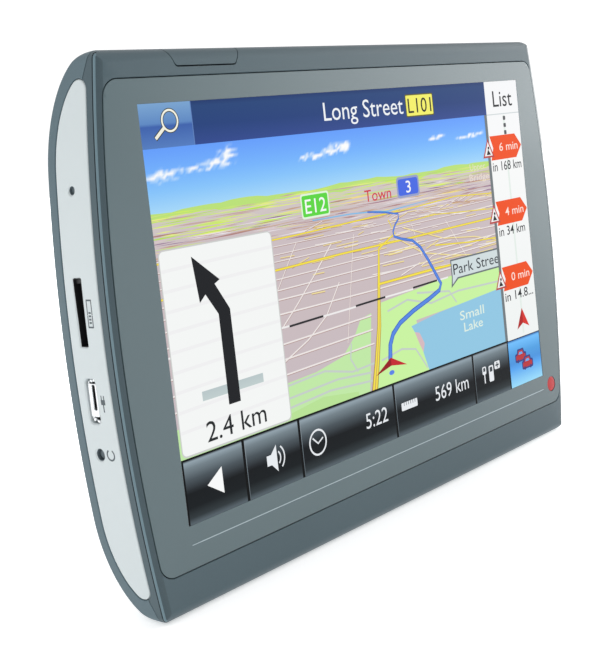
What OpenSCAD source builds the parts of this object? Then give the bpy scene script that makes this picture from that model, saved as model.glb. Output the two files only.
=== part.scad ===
// Portable navigator with a wide touch display, as an assembly of its separate pieces.
// Millimetres. X runs along the display, Z is up, and the display faces -Y.
// The origin is the centre of the whole object's box.
// Depths in this file are measured backwards from the front plane of the touch panel.

/* [Body] */
// Overall width, between the crowns of the two curved ends
body_w = 155.5; // [150:0.5:161]
// Overall height
body_h = 105.2; // [104:0.1:106]
// Overall depth
body_d = 14.6; // [14.2:0.1:16]
// Radius of the curved ends, seen from the front
side_arc_r = 331; // [320:1:345]
// Radius of the four outer corners, seen from the front
corner_r = 2; // [1:0.1:3]
// Height of the upper rear shoulder
shoulder_top = 21.1; // [20:0.1:22]
// Height of the lower rear shoulder
shoulder_bottom = 19.4; // [18.5:0.1:20.5]
// Height of the rounded front edges at top and bottom
front_edge_h = 2.4; // [2:0.1:2.6]
// Wall of the housing at the back, top and bottom
wall = 1.5; // [1.3:0.1:1.6]
// Wall of the housing at the two ends
end_wall = 2.6; // [2.5:0.1:2.7]

/* [Touch panel] */
// Distance from the body's end curve to the panel's end
panel_margin = 1.65; // [1.5:0.05:1.8]
// Height of the panel's upper edge above the centre
panel_high = 47.2; // [46.9:0.1:47.3]
// Depth of the panel's lower edge below the centre
panel_low = 44.3; // [44.2:0.1:44.6]
// Corner radius of the panel
panel_r = 3; // [2.5:0.1:3.5]
// Thickness of the panel
panel_t = 1.5; // [1.4:0.1:1.5]
// Gap between the panel and the front housing
seam = 0.2; // [0.15:0.05:0.25]

/* [Display] */
// Width of the picture area
display_w = 131; // [130:0.5:131.5]
// Height of the picture area
display_h = 78.6; // [78:0.1:79]
// Height of the picture's centre above the body's centre
display_up = 3.2; // [3:0.1:3.4]

/* [Side caps] */
// Depth of a cap's straight front edge
cap_front = 2.85; // [2.7:0.05:3]
// Depth of a cap's straight rear edge
cap_back = 12.2; // [12:0.1:12.4]
// Height of the cap's upper curve
cap_rise_top = 17.5; // [17:0.1:18]
// Height of the cap's lower curve
cap_rise_bottom = 15.8; // [15.5:0.1:16]
// Thickness of a cap
cap_t = 1.2; // [1:0.1:1.3]

/* [Sockets in the left cap] */
// Height of the memory card slot's centre
card_z = 6.4; // [6:0.1:6.8]
// Length of the card slot
card_slot_l = 12.5; // [12:0.1:13]
// Width of the card slot
card_slot_w = 2.1; // [1.9:0.1:2.2]
// Height of the charging socket's centre
usb_z = -9.9; // [-10.2:0.1:-9.6]
// Length of the opening for the charging socket
usb_slot_l = 8.4; // [8.2:0.1:8.8]
// Width of the opening for the charging socket
usb_slot_w = 2.9; // [2.8:0.1:3]
// Height of the microphone hole's centre
mic_z = 28.4; // [28:0.1:28.8]
// Radius of the microphone hole
mic_r = 0.8; // [0.6:0.05:0.9]
// Height of the reset hole's centre
reset_z = -20; // [-20.3:0.1:-19.7]
// Radius of the reset hole
reset_r = 1.15; // [1.1:0.05:1.3]

/* [Buttons] */
// Position of the power key's centre along the body
key_x = -46.8; // [-48:0.1:-45]
// Width of the power key at the bottom of its front face
key_bottom_w = 16; // [15:0.1:17]
// Width of the power key over the top edge
key_top_w = 19.7; // [19:0.1:20.5]
// Height of the key's lower front edge above the centre
key_low = 49.25; // [49:0.05:49.4]
// Travel of the power key
key_travel = 0.25; // [0.2:0.05:0.25]
// Travel of the reset button
reset_travel = 0.25; // [0.2:0.05:0.3]

/* [Hidden] */

$fn = 48;
arc_fn = 360;
shoulder_steps = 20;
edge_steps = 8;
eps = 0.01;
far = 100;

top_z = body_h / 2;
arc_axis_x = side_arc_r - body_w / 2;
edge_d = 2.5;
edge_drop = 0.36;
groove_d = 0.8;
groove_w = 0.17;
groove_t = 0.25;
back_d = body_d - wall;

// Depths of the layers behind the panel
gasket_t = 0.4;
lcd_front = panel_t + gasket_t;
lcd_back = 5.3;
lcd_sheet = 0.3;
cell_t = 1.3;
ledge_back = 2.7;
chassis_front = 5.4;
chassis_back = 6;
board_front = 6.2;
board_back = 7;
port_d = 8.35;
card_d = 8.38;
mic_d = 7.95;
reset_d = 8.65;

// Outline of the display module
module_w = 139;
module_high = 45.4;
module_low = 42.4;
opening_gap = 0.3;

// Parting line between the two halves of the housing
split_d = 3.58;
split_z = 48.02;
split_slope = 1.59 / 3.92;

// Clearances round the power key
key_side_gap = 0.25;
key_low_gap = 0.3;
key_back = 9.5;
key_skin = 1.3;
key_corner_r = 1;

// Screws
rear_screw_x = 67;
rear_screw_z = 28;
standoff_r = 2.2;
chassis_screw_x = 71;
chassis_screw_high = 36;
chassis_screw_low = -34;
boss_r = 1.4;

// X of the curved end at a height, less a depth into the wall
function end_x(z, inset = 0) = sqrt(pow(side_arc_r - inset, 2) - z * z) - arc_axis_x;
// Points along part of an ellipse
function arc_points(c, a, b, from, to, steps) =
    [for (i = [0:steps]) let (t = from + (to - from) * i / steps) [c[0] + a * cos(t), c[1] + b * sin(t)]];

// ---- Placing ----

// Puts a shape that is drawn with Y as depth behind the front plane into the part's frame
module placed() { translate([0, -body_d / 2, 0]) children(); }

// Extrudes a front view, drawn in X and Z, from one depth to another
module along_depth(from, to) {
    translate([0, to, 0]) rotate([90, 0, 0]) linear_extrude(to - from) children();
}

// Extrudes an end view, drawn in depth and Z, from one X to another
module along_width(from, to) {
    translate([from, 0, 0]) rotate([90, 0, 90]) linear_extrude(to - from) children();
}

// A plain box from corner to corner
module block(low, high) { translate(low) cube(high - low); }

// A cylinder along the depth
module rod_d(x, z, from, to, r) { translate([x, from, z]) rotate([-90, 0, 0]) cylinder(h = to - from, r = r); }

// A cylinder along X
module rod_x(d, z, from, to, r) { translate([from, d, z]) rotate([0, 90, 0]) cylinder(h = to - from, r = r); }

// A straight round wire between two points
module wire(a, b, r) {
    v = b - a;
    translate(a) rotate([0, acos(v[2] / norm(v)), atan2(v[1], v[0])]) cylinder(h = norm(v), r = r, $fn = 16);
}

// A rounded rectangle
module soft_rect(size, r) {
    for (turn = [0, 1])
        square([size[0] - 2 * r * turn, size[1] - 2 * r * (1 - turn)], center = true);
    for (sx = [-1, 1], sy = [-1, 1])
        translate([sx * (size[0] / 2 - r), sy * (size[1] / 2 - r)]) circle(r = r, $fn = 24);
}

// ---- Outer shape ----

// The waste outside a rounded corner between a curved end and a straight edge
module corner_waste(margin, edge, r) {
    up = edge - r;
    reach = side_arc_r - margin - r;
    lean = asin(up / reach);
    translate([reach * cos(lean) - arc_axis_x, up]) difference() {
        polygon([[0, 0], 3 * r * [cos(lean), sin(lean)], [3 * r, 3 * r], [0, 3 * r]]);
        circle(r = r);
    }
}

// A plate with two curved ends, straight top and bottom edges and rounded corners
module round_ended(margin, low, high, r) {
    difference() {
        intersection() {
            translate([-arc_axis_x, 0]) circle(r = side_arc_r - margin, $fn = arc_fn);
            translate([arc_axis_x, 0]) circle(r = side_arc_r - margin, $fn = arc_fn);
            translate([-body_w / 2, -low]) square([body_w, high + low]);
        }
        for (side = [0, 1]) mirror([side, 0]) {
            corner_waste(margin, high, r);
            mirror([0, 1]) corner_waste(margin, low, r);
        }
    }
}

// The section seen from an end: flat front and back, with a big shoulder at top and bottom
module end_profile(inset = 0) {
    depth = body_d - edge_d - inset;
    polygon(concat(
        arc_points([edge_d, top_z - front_edge_h], edge_d - inset, front_edge_h - inset, 180, 90, edge_steps),
        arc_points([edge_d, top_z - shoulder_top], depth, shoulder_top - inset, 90, 0, shoulder_steps),
        arc_points([edge_d, shoulder_bottom - top_z], depth, shoulder_bottom - inset, 0, -90, shoulder_steps),
        arc_points([edge_d, front_edge_h - top_z], edge_d - inset, front_edge_h - inset, -90, -180, edge_steps)
    ));
}

// A disc whose rim is one curved end, with the sloping front edge and the groove behind it
module end_drum(side) {
    r = side_arc_r;
    translate([-side * arc_axis_x, 0, 0]) rotate([-90, 0, 0]) rotate_extrude($fn = arc_fn)
        polygon([
            [0, 0], [r - panel_margin, 0], [r - 0.3, edge_drop], [r - 0.08, edge_drop + 0.12], [r, edge_drop + 0.34],
            [r, groove_d], [r - groove_t, groove_d], [r - groove_t, groove_d + groove_w], [r, groove_d + groove_w],
            [r, body_d], [0, body_d]
        ]);
}

// The whole outer form
module body_form() {
    intersection() {
        end_drum(1);
        end_drum(-1);
        along_depth(0, body_d) round_ended(0, top_z, top_z, corner_r);
        along_width(-far, far) end_profile();
    }
}

// The room inside the housing
module inner_space() {
    intersection() {
        along_depth(ledge_back, back_d) round_ended(end_wall, top_z - wall, top_z - wall, corner_r);
        along_width(-far, far) end_profile(wall);
    }
}

// Everything in front of the parting line
module front_zone() {
    reach = 12;
    along_width(-far, far) polygon([
        [-far, -split_z - reach], [split_d - reach * split_slope, -split_z - reach], [split_d, -split_z],
        [split_d, split_z], [split_d - reach * split_slope, split_z + reach], [-far, split_z + reach]
    ]);
}

// ---- Side caps and sockets ----

// Radius of the small curve that joins a cap's front edge to its long curve
function tip_angle() = 65;
function tip_normal(rise) =
    let (a = cap_back - edge_d, n = [cos(tip_angle()) / a, sin(tip_angle()) / rise]) n / norm(n);
function tip_r(rise) =
    ((cap_back - edge_d) * cos(tip_angle()) - (cap_front - edge_d)) / (1 + tip_normal(rise)[0]);
// Half of a cap's outline above the start of its shoulder, from the front edge to the rear edge
function cap_half(start, rise) =
    let (
        a = cap_back - edge_d,
        n = tip_normal(rise),
        r = tip_r(rise),
        p = [edge_d + a * cos(tip_angle()), start + rise * sin(tip_angle())]
    )
    concat(
        arc_points(p - r * n, r, r, 180, atan2(n[1], n[0]), edge_steps),
        [for (q = arc_points([edge_d, start], a, rise, tip_angle(), 0, shoulder_steps)) if (q != p) q]
    );
function flipped(points) = [for (i = [len(points) - 1:-1:0]) [points[i][0], -points[i][1]]];

// The outline of a cap in depth and Z
module cap_outline() {
    polygon(concat(
        cap_half(top_z - shoulder_top, cap_rise_top),
        flipped(cap_half(top_z - shoulder_bottom, cap_rise_bottom))
    ));
}

// A layer of one end, between two depths into the wall
module end_layer(side, from, to) {
    intersection() {
        translate([-side * arc_axis_x, 0, 0]) rotate([-90, 0, 0]) difference() {
            translate([0, 0, -eps]) cylinder(h = body_d + 2 * eps, r = side_arc_r - from, $fn = arc_fn);
            translate([0, 0, -2 * eps]) cylinder(h = body_d + 4 * eps, r = side_arc_r - to, $fn = arc_fn);
        }
        translate([side > 0 ? 0 : -far, -1, -far]) cube([far, body_d + 2, 2 * far]);
    }
}

// The places of the snap hooks behind a cap
hook_zs = [34, -3, -34];
hook_d = 9.2;
hook_t = 1;
hook_l = 4;

// One cap with its snap hooks
module side_cap(side) {
    intersection() {
        end_layer(side, 0, cap_t);
        along_width(-far, far) cap_outline();
    }
    for (z = hook_zs) mirror([side > 0 ? 0 : 1, 0, 0]) {
        x = end_x(abs(z) + hook_l / 2) - cap_t;
        block([x - 2.6, hook_d, z - hook_l / 2], [x + 0.1, hook_d + hook_t, z + hook_l / 2]);
        block([x - 2.6, hook_d + hook_t, z - hook_l / 2], [x - 2, hook_d + hook_t + 0.4, z + hook_l / 2]);
    }
}

// What is cut from the housing for one cap: the pocket and the slots for its hooks
module cap_pocket(side) {
    intersection() {
        end_layer(side, -1, cap_t);
        along_width(-far, far) cap_outline();
    }
    for (z = hook_zs) mirror([side > 0 ? 0 : 1, 0, 0])
        block([60, hook_d - 0.15, z - hook_l / 2 - 0.15], [80, hook_d + hook_t + 0.5, z + hook_l / 2 + 0.15]);
}

// The holes for the sockets, through the left end
module socket_holes() {
    along_width(-far, -end_x(0) + 6) {
        translate([card_d, card_z]) square([card_slot_w, card_slot_l], center = true);
        translate([port_d, usb_z]) soft_rect([usb_slot_w, usb_slot_l], 0.9);
    }
    rod_x(mic_d, mic_z, -far, -end_x(0) + 6, mic_r);
    rod_x(reset_d, reset_z, -far, -end_x(0) + 6, reset_r);
}

// ---- Power key ----

// The key's front view, grown by a gap at its sides and its lower edge
module key_outline(side_gap, low_gap) {
    rise = top_z - key_low;
    slope = (key_top_w - key_bottom_w) / 2 / rise;
    low = -low_gap;
    high = rise + 4;
    offset(r = key_corner_r) offset(delta = -key_corner_r) polygon([
        [key_x - key_bottom_w / 2 - side_gap - slope * low, key_low + low],
        [key_x + key_bottom_w / 2 + side_gap + slope * low, key_low + low],
        [key_x + key_bottom_w / 2 + side_gap + slope * high, key_low + high],
        [key_x - key_bottom_w / 2 - side_gap - slope * high, key_low + high]
    ]);
}

// What is cut from the housing for the key
module key_cutout() { along_depth(-1, key_back + 0.3) key_outline(key_side_gap, key_low_gap); }

// ---- Housing ----

module panel_shape(grow) { round_ended(panel_margin - grow, panel_low + grow, panel_high + grow, panel_r + grow); }

module front_housing() {
    color([0.36, 0.41, 0.44]) placed() {
        difference() {
            intersection() { body_form(); front_zone(); }
            along_depth(-1, panel_t) panel_shape(seam);
            along_depth(-1, split_d + 1) translate([0, (module_high - module_low) / 2])
                square([module_w + 2 * opening_gap, module_high + module_low + 2 * opening_gap], center = true);
            inner_space();
            for (side = [-1, 1]) cap_pocket(side);
            key_cutout();
        }
        for (x = [-chassis_screw_x, chassis_screw_x], z = [chassis_screw_high, chassis_screw_low]) difference() {
            rod_d(x, z, ledge_back - 0.2, chassis_front, boss_r);
            rod_d(x, z, 3, chassis_front + eps, 0.8);
        }
    }
}

// Centres of the speaker and of the two holder slots, seen from the front
speaker_x = 60;
speaker_z = -12;
speaker_r = 10;
holder_x = 30;
holder_z = -24;
holder_l = 14;
holder_w = 3.2;
holder_deep = 1.6;

module rear_shell() {
    color([0.47, 0.54, 0.57]) placed() difference() {
        union() {
            difference() { body_form(); inner_space(); front_zone(); }
            for (x = [-rear_screw_x, rear_screw_x], z = [-rear_screw_z, rear_screw_z])
                rod_d(x, z, 12, back_d + 0.2, 3.4);
            for (x = [-holder_x, holder_x])
                block([x - holder_l / 2 - 1, back_d - 0.9, holder_z - holder_w / 2 - 1],
                    [x + holder_l / 2 + 1, back_d + 0.2, holder_z + holder_w / 2 + 1]);
        }
        for (side = [-1, 1]) cap_pocket(side);
        socket_holes();
        key_cutout();
        for (x = [-rear_screw_x, rear_screw_x], z = [-rear_screw_z, rear_screw_z]) {
            rod_d(x, z, 11, body_d + 1, 1.15);
            rod_d(x, z, body_d - 1.3, body_d + 1, 2.1);
        }
        for (x = [-holder_x, holder_x]) along_depth(body_d - holder_deep, body_d + 1)
            translate([x, holder_z]) soft_rect([holder_l, holder_w], 0.8);
        for (i = [-3:3]) along_depth(back_d - 1, body_d + 1) translate([speaker_x, speaker_z + 2.4 * i])
            soft_rect([2 * sqrt(pow(speaker_r - 1, 2) - pow(2.4 * i, 2)), 1.1], 0.5);
    }
}

module left_side_cap() {
    color([0.86, 0.89, 0.90]) placed() difference() { side_cap(-1); socket_holes(); }
}

module right_side_cap() { color([0.86, 0.89, 0.90]) placed() side_cap(1); }

// ---- Front ----

strip_z = -39.85;
strip_w = 130.4;
strip_h = 0.35;
strip_t = 0.2;
badge_x = 69.4;
badge_z = -39.2;
badge_r = 1.95;
badge_t = 0.3;

module touch_panel() {
    color([0.52, 0.58, 0.60]) placed() difference() {
        along_depth(0, panel_t) panel_shape(0);
        block([-strip_w / 2, -1, strip_z - strip_h / 2], [strip_w / 2, strip_t, strip_z + strip_h / 2]);
        rod_d(badge_x, badge_z, -1, badge_t, badge_r);
    }
}

module accent_strip() {
    color([0.80, 0.84, 0.86]) placed()
        block([-strip_w / 2, 0, strip_z - strip_h / 2], [strip_w / 2, strip_t, strip_z + strip_h / 2]);
}

module badge_dot() { color([0.86, 0.08, 0.10]) placed() rod_d(badge_x, badge_z, 0, badge_t, badge_r); }

module frame_ring(w, low, high, margin) {
    difference() {
        translate([-w / 2, -low]) square([w, high + low]);
        translate([-w / 2 + margin, -low + margin]) square([w - 2 * margin, high + low - 2 * margin]);
    }
}

module panel_gasket() {
    color([0.1, 0.1, 0.1]) placed() along_depth(panel_t, lcd_front) frame_ring(module_w, module_low, module_high, 2.2);
}

// ---- Display module ----

module lcd_cell() {
    color([0.2, 0.35, 0.6]) placed()
        block([-module_w / 2 + lcd_sheet, lcd_front, -module_low + lcd_sheet],
            [module_w / 2 - lcd_sheet, lcd_front + cell_t, module_high - lcd_sheet]);
}

module backlight() {
    color([0.95, 0.95, 0.9]) placed()
        block([-module_w / 2 + lcd_sheet, lcd_front + cell_t, -module_low + lcd_sheet],
            [module_w / 2 - lcd_sheet, lcd_back - lcd_sheet, module_high - lcd_sheet]);
}

module lcd_frame() {
    color([0.7, 0.72, 0.74]) placed() difference() {
        block([-module_w / 2, lcd_front, -module_low], [module_w / 2, lcd_back, module_high]);
        block([-module_w / 2 + lcd_sheet, lcd_front - 1, -module_low + lcd_sheet],
            [module_w / 2 - lcd_sheet, lcd_back - lcd_sheet, module_high - lcd_sheet]);
    }
}

// ---- Chassis and fasteners ----

board_hole_places = [[-62, -20], [-25, 34], [36, 12]];

module chassis() {
    color([0.66, 0.67, 0.68]) placed() difference() {
        union() {
            along_depth(chassis_front, chassis_back) round_ended(3.2, 43.2, 45.4, 4);
            for (p = board_hole_places) rod_d(p[0], p[1], chassis_back - eps, board_front, 2);
        }
        block([-59, 0, -60], [-23, 10, -41]);
        block([-80, 0, mic_z - 2.9], [-70.9, 10, mic_z + 2.7]);
        for (p = board_hole_places) rod_d(p[0], p[1], 5, 7, 0.85);
        for (x = [-chassis_screw_x, chassis_screw_x], z = [chassis_screw_high, chassis_screw_low])
            rod_d(x, z, 5, 7, 0.9);
        for (x = [-50, -25, 0, 25, 50]) along_depth(5, 7) translate([x, -10]) soft_rect([14, 4], 1.9);
    }
}

// A pan-head screw along the depth, its head towards the back, with a cross recess
module screw(x, z, tip, seat, shank_r, head_r, head_h) {
    difference() {
        union() {
            rod_d(x, z, tip, seat + eps, shank_r);
            rod_d(x, z, seat, seat + head_h, head_r);
        }
        for (turn = [0, 90]) translate([x, seat + head_h, z]) rotate([0, turn, 0])
            cube([head_r * 1.1, head_h * 1.1, head_r * 0.25], center = true);
    }
}

module chassis_screws() {
    color([0.75, 0.75, 0.77]) placed()
        for (x = [-chassis_screw_x, chassis_screw_x], z = [chassis_screw_high, chassis_screw_low])
            screw(x, z, 3.2, chassis_back, 0.75, 1.4, 0.8);
}

module standoffs() {
    color([0.80, 0.68, 0.35]) placed()
        for (x = [-rear_screw_x, rear_screw_x], z = [-rear_screw_z, rear_screw_z]) difference() {
            rod_d(x, z, chassis_back, 12, standoff_r);
            rod_d(x, z, 7, 12 + eps, 1);
        }
}

module housing_screws() {
    color([0.2, 0.2, 0.22]) placed()
        for (x = [-rear_screw_x, rear_screw_x], z = [-rear_screw_z, rear_screw_z])
            screw(x, z, 8.3, body_d - 1.3, 0.95, 1.9, 1.15);
}

// ---- Main board ----

module board_shape() {
    intersection() {
        round_ended(3.3, top_z, top_z, 2);
        polygon([[-80, -24.9], [-22, -24.9], [-22, 8], [41, 8], [41, 38], [-63.8, 38], [-63.8, 25], [-80, 25]]);
    }
}

module main_board() {
    color([0.05, 0.30, 0.15]) placed() difference() {
        along_depth(board_front, board_back) board_shape();
        for (p = board_hole_places) rod_d(p[0], p[1], 6, 8, 0.9);
    }
}

module board_screws() {
    color([0.75, 0.75, 0.77]) placed()
        for (p = board_hole_places) screw(p[0], p[1], chassis_front, board_back, 0.75, 1.5, 0.8);
}

// A thin sheet-metal can, open towards the board
module can(low, high, t) {
    difference() {
        block(low, high);
        block([low[0] + t, low[1] - 1, low[2] + t], [high[0] - t, high[1] - t, high[2] - t]);
    }
}

module processor_shield() {
    color([0.78, 0.79, 0.80]) placed() can([-59.8, board_back, 10], [-30, 9, 32], 0.2);
}

module processor() { color([0.12, 0.12, 0.13]) placed() block([-58.5, board_back, 14.5], [-45.5, 8.2, 27.5]); }

module memory_chips() {
    color([0.12, 0.12, 0.13]) placed()
        for (z = [11.5, 21.5]) block([-43, board_back, z], [-33, 8, z + 8]);
}

module radio_shield() { color([0.78, 0.79, 0.80]) placed() can([6, board_back, 14], [28, 9, 33], 0.2); }

module radio_chip() { color([0.12, 0.12, 0.13]) placed() block([12, board_back, 19], [20, 8, 27]); }

module power_parts() {
    color([0.25, 0.25, 0.27]) placed() {
        block([-16, board_back, 18], [-9, 7.9, 25]);
        for (x = [-20, -14.5, -9]) block([x, board_back, 28], [x + 4, 9, 32]);
        for (i = [0:5]) block([-4 + 0.2, board_back, 12 + 3 * i], [-2, 7.8, 13.2 + 3 * i]);
    }
}

module display_connector() {
    color([0.9, 0.88, 0.8]) placed() difference() {
        block([-58, board_back, -23], [-34, 8.2, -18.5]);
        block([-57, 7.35, -24], [-35, 7.6, -20]);
    }
}

module touch_connector() {
    color([0.9, 0.88, 0.8]) placed() difference() {
        block([-31.5, board_back, -23], [-23.5, 8.2, -19.5]);
        block([-30.8, 7.35, -24], [-24.2, 7.6, -20.5]);
    }
}

ribbon_t = 0.12;

// A flat ribbon that follows a path in depth and Z, between two X positions
module ribbon(x0, x1, path) {
    along_width(x0, x1) for (i = [0:len(path) - 2]) {
        v = path[i + 1] - path[i];
        n = ribbon_t / 2 * [-v[1], v[0]] / norm(v);
        e = ribbon_t / 2 * v / norm(v);
        polygon([path[i] - e - n, path[i + 1] + e - n, path[i + 1] + e + n, path[i] - e + n]);
    }
}

module display_ribbon() {
    color([0.85, 0.55, 0.15]) placed()
        ribbon(-56, -36, [[3.2, -42.5], [3.6, -44.6], [6.1, -44.6], [7.48, -40], [7.48, -20.6]]);
}

module touch_ribbon() {
    color([0.85, 0.55, 0.15]) placed()
        ribbon(-30.3, -24.7, [[1.62, -42.55], [5.4, -42.55], [6.6, -43.2], [7.48, -40], [7.48, -21]]);
}

// ---- Sockets, microphone ----

usb_mouth = -77.2;
usb_back = -71.2;
usb_h = 2.45;
usb_w = 7.6;
usb_sheet = 0.25;

module usb_shell() {
    color([0.82, 0.83, 0.84]) placed() difference() {
        along_width(usb_mouth, usb_back) translate([port_d, usb_z]) soft_rect([usb_h, usb_w], 0.6);
        along_width(usb_mouth - 1, usb_back - usb_sheet) translate([port_d, usb_z])
            soft_rect([usb_h - 2 * usb_sheet, usb_w - 2 * usb_sheet], 0.4);
    }
}

module usb_tongue() {
    color([0.08, 0.08, 0.08]) placed() {
        block([usb_mouth + 1, port_d - 0.35, usb_z - 2.2], [usb_back - usb_sheet - 1, port_d + 0.25, usb_z + 2.2]);
        block([usb_back - usb_sheet - 1.2, port_d - 0.9, usb_z - 3.2], [usb_back - usb_sheet, port_d + 0.9, usb_z + 3.2]);
    }
}

card_mouth = -74.8;
card_end = -60.5;
card_case_w = 14;

module card_socket() {
    color([0.76, 0.77, 0.78]) placed() difference() {
        block([card_mouth, board_back + 0.05, card_z - card_case_w / 2], [card_end, 9.6, card_z + card_case_w / 2]);
        block([card_mouth - 1, 7.5, card_z - 5.8], [card_end - 0.4, 9.2, card_z + 5.8]);
    }
}

module card_contacts() {
    color([0.85, 0.70, 0.30]) placed()
        for (i = [-3.5:3.5]) block([card_end - 8, 7.5, card_z + 1.1 * i - 0.35], [card_end - 2, 7.75, card_z + 1.1 * i + 0.35]);
}

mic_wall_x = -73.65;

module microphone() {
    color([0.6, 0.6, 0.62]) placed() rod_x(mic_d, mic_z, mic_wall_x + 0.7, mic_wall_x + 2.2, 1.75);
}

module microphone_boot() {
    color([0.12, 0.12, 0.12]) placed() difference() {
        rod_x(mic_d, mic_z, mic_wall_x, mic_wall_x + 2.5, 2.4);
        rod_x(mic_d, mic_z, mic_wall_x + 0.7, mic_wall_x + 3, 1.75);
        rod_x(mic_d, mic_z, mic_wall_x - 1, mic_wall_x + 2, 0.7);
    }
}

// ---- Buttons ----

// The key's stem goes down in front of the shoulder's wall, then back to the plunger
key_inner_d = 3;
stem_front = 6.2;
stem_back = 7.5;
stem_bend = 42;
stem_low = 40.6;
stem_d = 8.8;
switch_high = 39.8;

module power_key() {
    color([0.36, 0.41, 0.44]) placed() {
        difference() {
            intersection() {
                body_form();
                along_depth(-1, key_back) key_outline(0, 0);
            }
            intersection() {
                along_depth(key_skin, back_d) round_ended(end_wall, top_z - key_skin, top_z - key_skin, corner_r);
                along_width(-far, far) end_profile(key_skin);
            }
        }
        block([key_x - 2, stem_front, stem_low], [key_x + 2, stem_back, 48]);
        block([key_x - 2, stem_front, stem_low], [key_x + 2, stem_d + 0.7, stem_bend]);
        intersection() {
            block([key_x - 0.6, key_inner_d, 46], [key_x + 0.6, stem_back - 0.5, 52]);
            along_width(-far, far) end_profile(0.6);
        }
        block([key_x - key_top_w / 2 - 1, key_inner_d, 49.4], [key_x + key_top_w / 2 + 1, 4.8, 50.2]);
        for (x = [-4, 4]) block([key_x + x - 0.5, key_inner_d, 49.8], [key_x + x + 0.5, 4.8, 51.35]);
    }
}

module power_plunger() {
    color([0.85, 0.85, 0.82]) placed() translate([key_x, stem_d, switch_high - 0.8])
        cylinder(h = stem_low - switch_high + 0.8, r = 0.8);
}

module power_switch() {
    color([0.7, 0.7, 0.72]) placed() difference() {
        block([key_x - 3, board_back, switch_high - 3.5], [key_x + 3, 10.6, switch_high]);
        translate([key_x, stem_d, switch_high - 1.2]) cylinder(h = 2, r = 0.9);
    }
}

reset_face = -76.4;
reset_flange = -74.2;
reset_end = -73.7;
reset_switch_x = -73;

module reset_button() {
    color([0.32, 0.36, 0.38]) placed() {
        rod_x(reset_d, reset_z, reset_face, reset_end, reset_r - 0.18);
        rod_x(reset_d, reset_z, reset_flange, reset_end, 1.5);
    }
}

module reset_plunger() {
    color([0.85, 0.85, 0.82]) placed() rod_x(reset_d, reset_z, reset_end, reset_switch_x + 0.8, 0.8);
}

module reset_switch() {
    color([0.7, 0.7, 0.72]) placed() difference() {
        block([reset_switch_x, board_back, reset_z - 3], [reset_switch_x + 3.4, 10.4, reset_z + 3]);
        rod_x(reset_d, reset_z, reset_switch_x - 1, reset_switch_x + 1.3, 0.9);
    }
}

// ---- Battery ----

battery_low = [-19, 6.3, -37];
battery_high = [50, 11.5, 4];

module battery_pack() {
    color([0.75, 0.77, 0.80]) placed() {
        size = battery_high - battery_low;
        mid = (battery_high + battery_low) / 2;
        along_depth(battery_low[1], battery_high[1]) translate([mid[0], mid[2]]) soft_rect([size[0], size[2]], 2);
    }
}

module battery_pad() {
    color([0.15, 0.15, 0.15]) placed()
        block([battery_low[0] + 3, chassis_back, battery_low[2] + 3], [battery_high[0] - 3, battery_low[1], battery_high[2] - 3]);
}

module battery_connector() {
    color([0.92, 0.92, 0.9]) placed() difference() {
        block([-31, board_back, -10], [-25, 9.6, -3]);
        block([-28, 7.6, -9], [-24, 9, -4]);
    }
}

module battery_lead() {
    color([0.75, 0.1, 0.1]) placed() {
        for (z = [-8, -6.5, -5]) wire([-26.4, 8.3, z], [battery_low[0] + eps, 8.3, z], 0.45);
        block([-27.9, 7.7, -8.9], [-25.4, 8.9, -4.1]);
    }
}

// ---- Speaker ----

module speaker_frame() {
    color([0.15, 0.15, 0.16]) placed() difference() {
        rod_d(speaker_x, speaker_z, 9, 12, speaker_r);
        rod_d(speaker_x, speaker_z, 9.6, 13, speaker_r - 0.8);
        rod_d(speaker_x, speaker_z, 8, 10, 6);
    }
}

module speaker_cone() {
    color([0.25, 0.25, 0.25]) placed() translate([speaker_x, 10.2, speaker_z]) rotate([-90, 0, 0]) difference() {
        cylinder(h = 1.6, r1 = 4, r2 = speaker_r - 1);
        translate([0, 0, 0.3]) cylinder(h = 1.6, r1 = 3.9, r2 = speaker_r - 1.1);
    }
}

module speaker_magnet() { color([0.6, 0.6, 0.62]) placed() rod_d(speaker_x, speaker_z, chassis_back, 9, 7.5); }

module speaker_gasket() {
    color([0.1, 0.1, 0.1]) placed() difference() {
        rod_d(speaker_x, speaker_z, 12, 12.8, speaker_r);
        rod_d(speaker_x, speaker_z, 11, 13, speaker_r - 1);
    }
}

module speaker_mesh() { color([0.08, 0.08, 0.08]) placed() rod_d(speaker_x, speaker_z, 12.8, back_d, speaker_r + 0.5); }

lead_r = 0.45;
lead_front = 7.5;
lead_step = 1;
lead_bend = 3;
lead_x = 53.5;
lead_low = -5.5;
lead_z = 5.9;
lead_end = 38;

module speaker_lead() {
    color([0.1, 0.1, 0.5]) placed() for (rise = [0, 1]) translate([0, lead_front + rise * lead_step, 0]) {
        translate([lead_x, 0, lead_low]) cylinder(h = lead_z - lead_low, r = lead_r);
        translate([lead_x - lead_bend, 0, lead_z]) rotate([90, 0, 0]) rotate_extrude(angle = 90)
            translate([lead_bend, 0]) circle(r = lead_r, $fn = 16);
        translate([lead_end, 0, lead_z + lead_bend]) rotate([0, 90, 0])
            cylinder(h = lead_x - lead_bend - lead_end, r = lead_r);
    }
}

// ---- Antenna ----

antenna_x = 45;
antenna_z = 10.5;
antenna_w = 18;
antenna_h = 4;
antenna_board_t = 0.8;

module antenna_board() {
    color([0.05, 0.30, 0.15]) placed()
        block([antenna_x - 1.5, chassis_back, antenna_z - 1],
            [antenna_x + antenna_w + 0.5, chassis_back + antenna_board_t, antenna_z + antenna_w + 1]);
}

module gps_antenna() {
    color([0.75, 0.70, 0.60]) placed() {
        base = chassis_back + antenna_board_t;
        block([antenna_x, base, antenna_z], [antenna_x + antenna_w, base + antenna_h, antenna_z + antenna_w]);
        rod_d(antenna_x + antenna_w / 2 + 1, antenna_z + antenna_w / 2, base + antenna_h - eps, base + antenna_h + 0.4, 1);
    }
}

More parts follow.
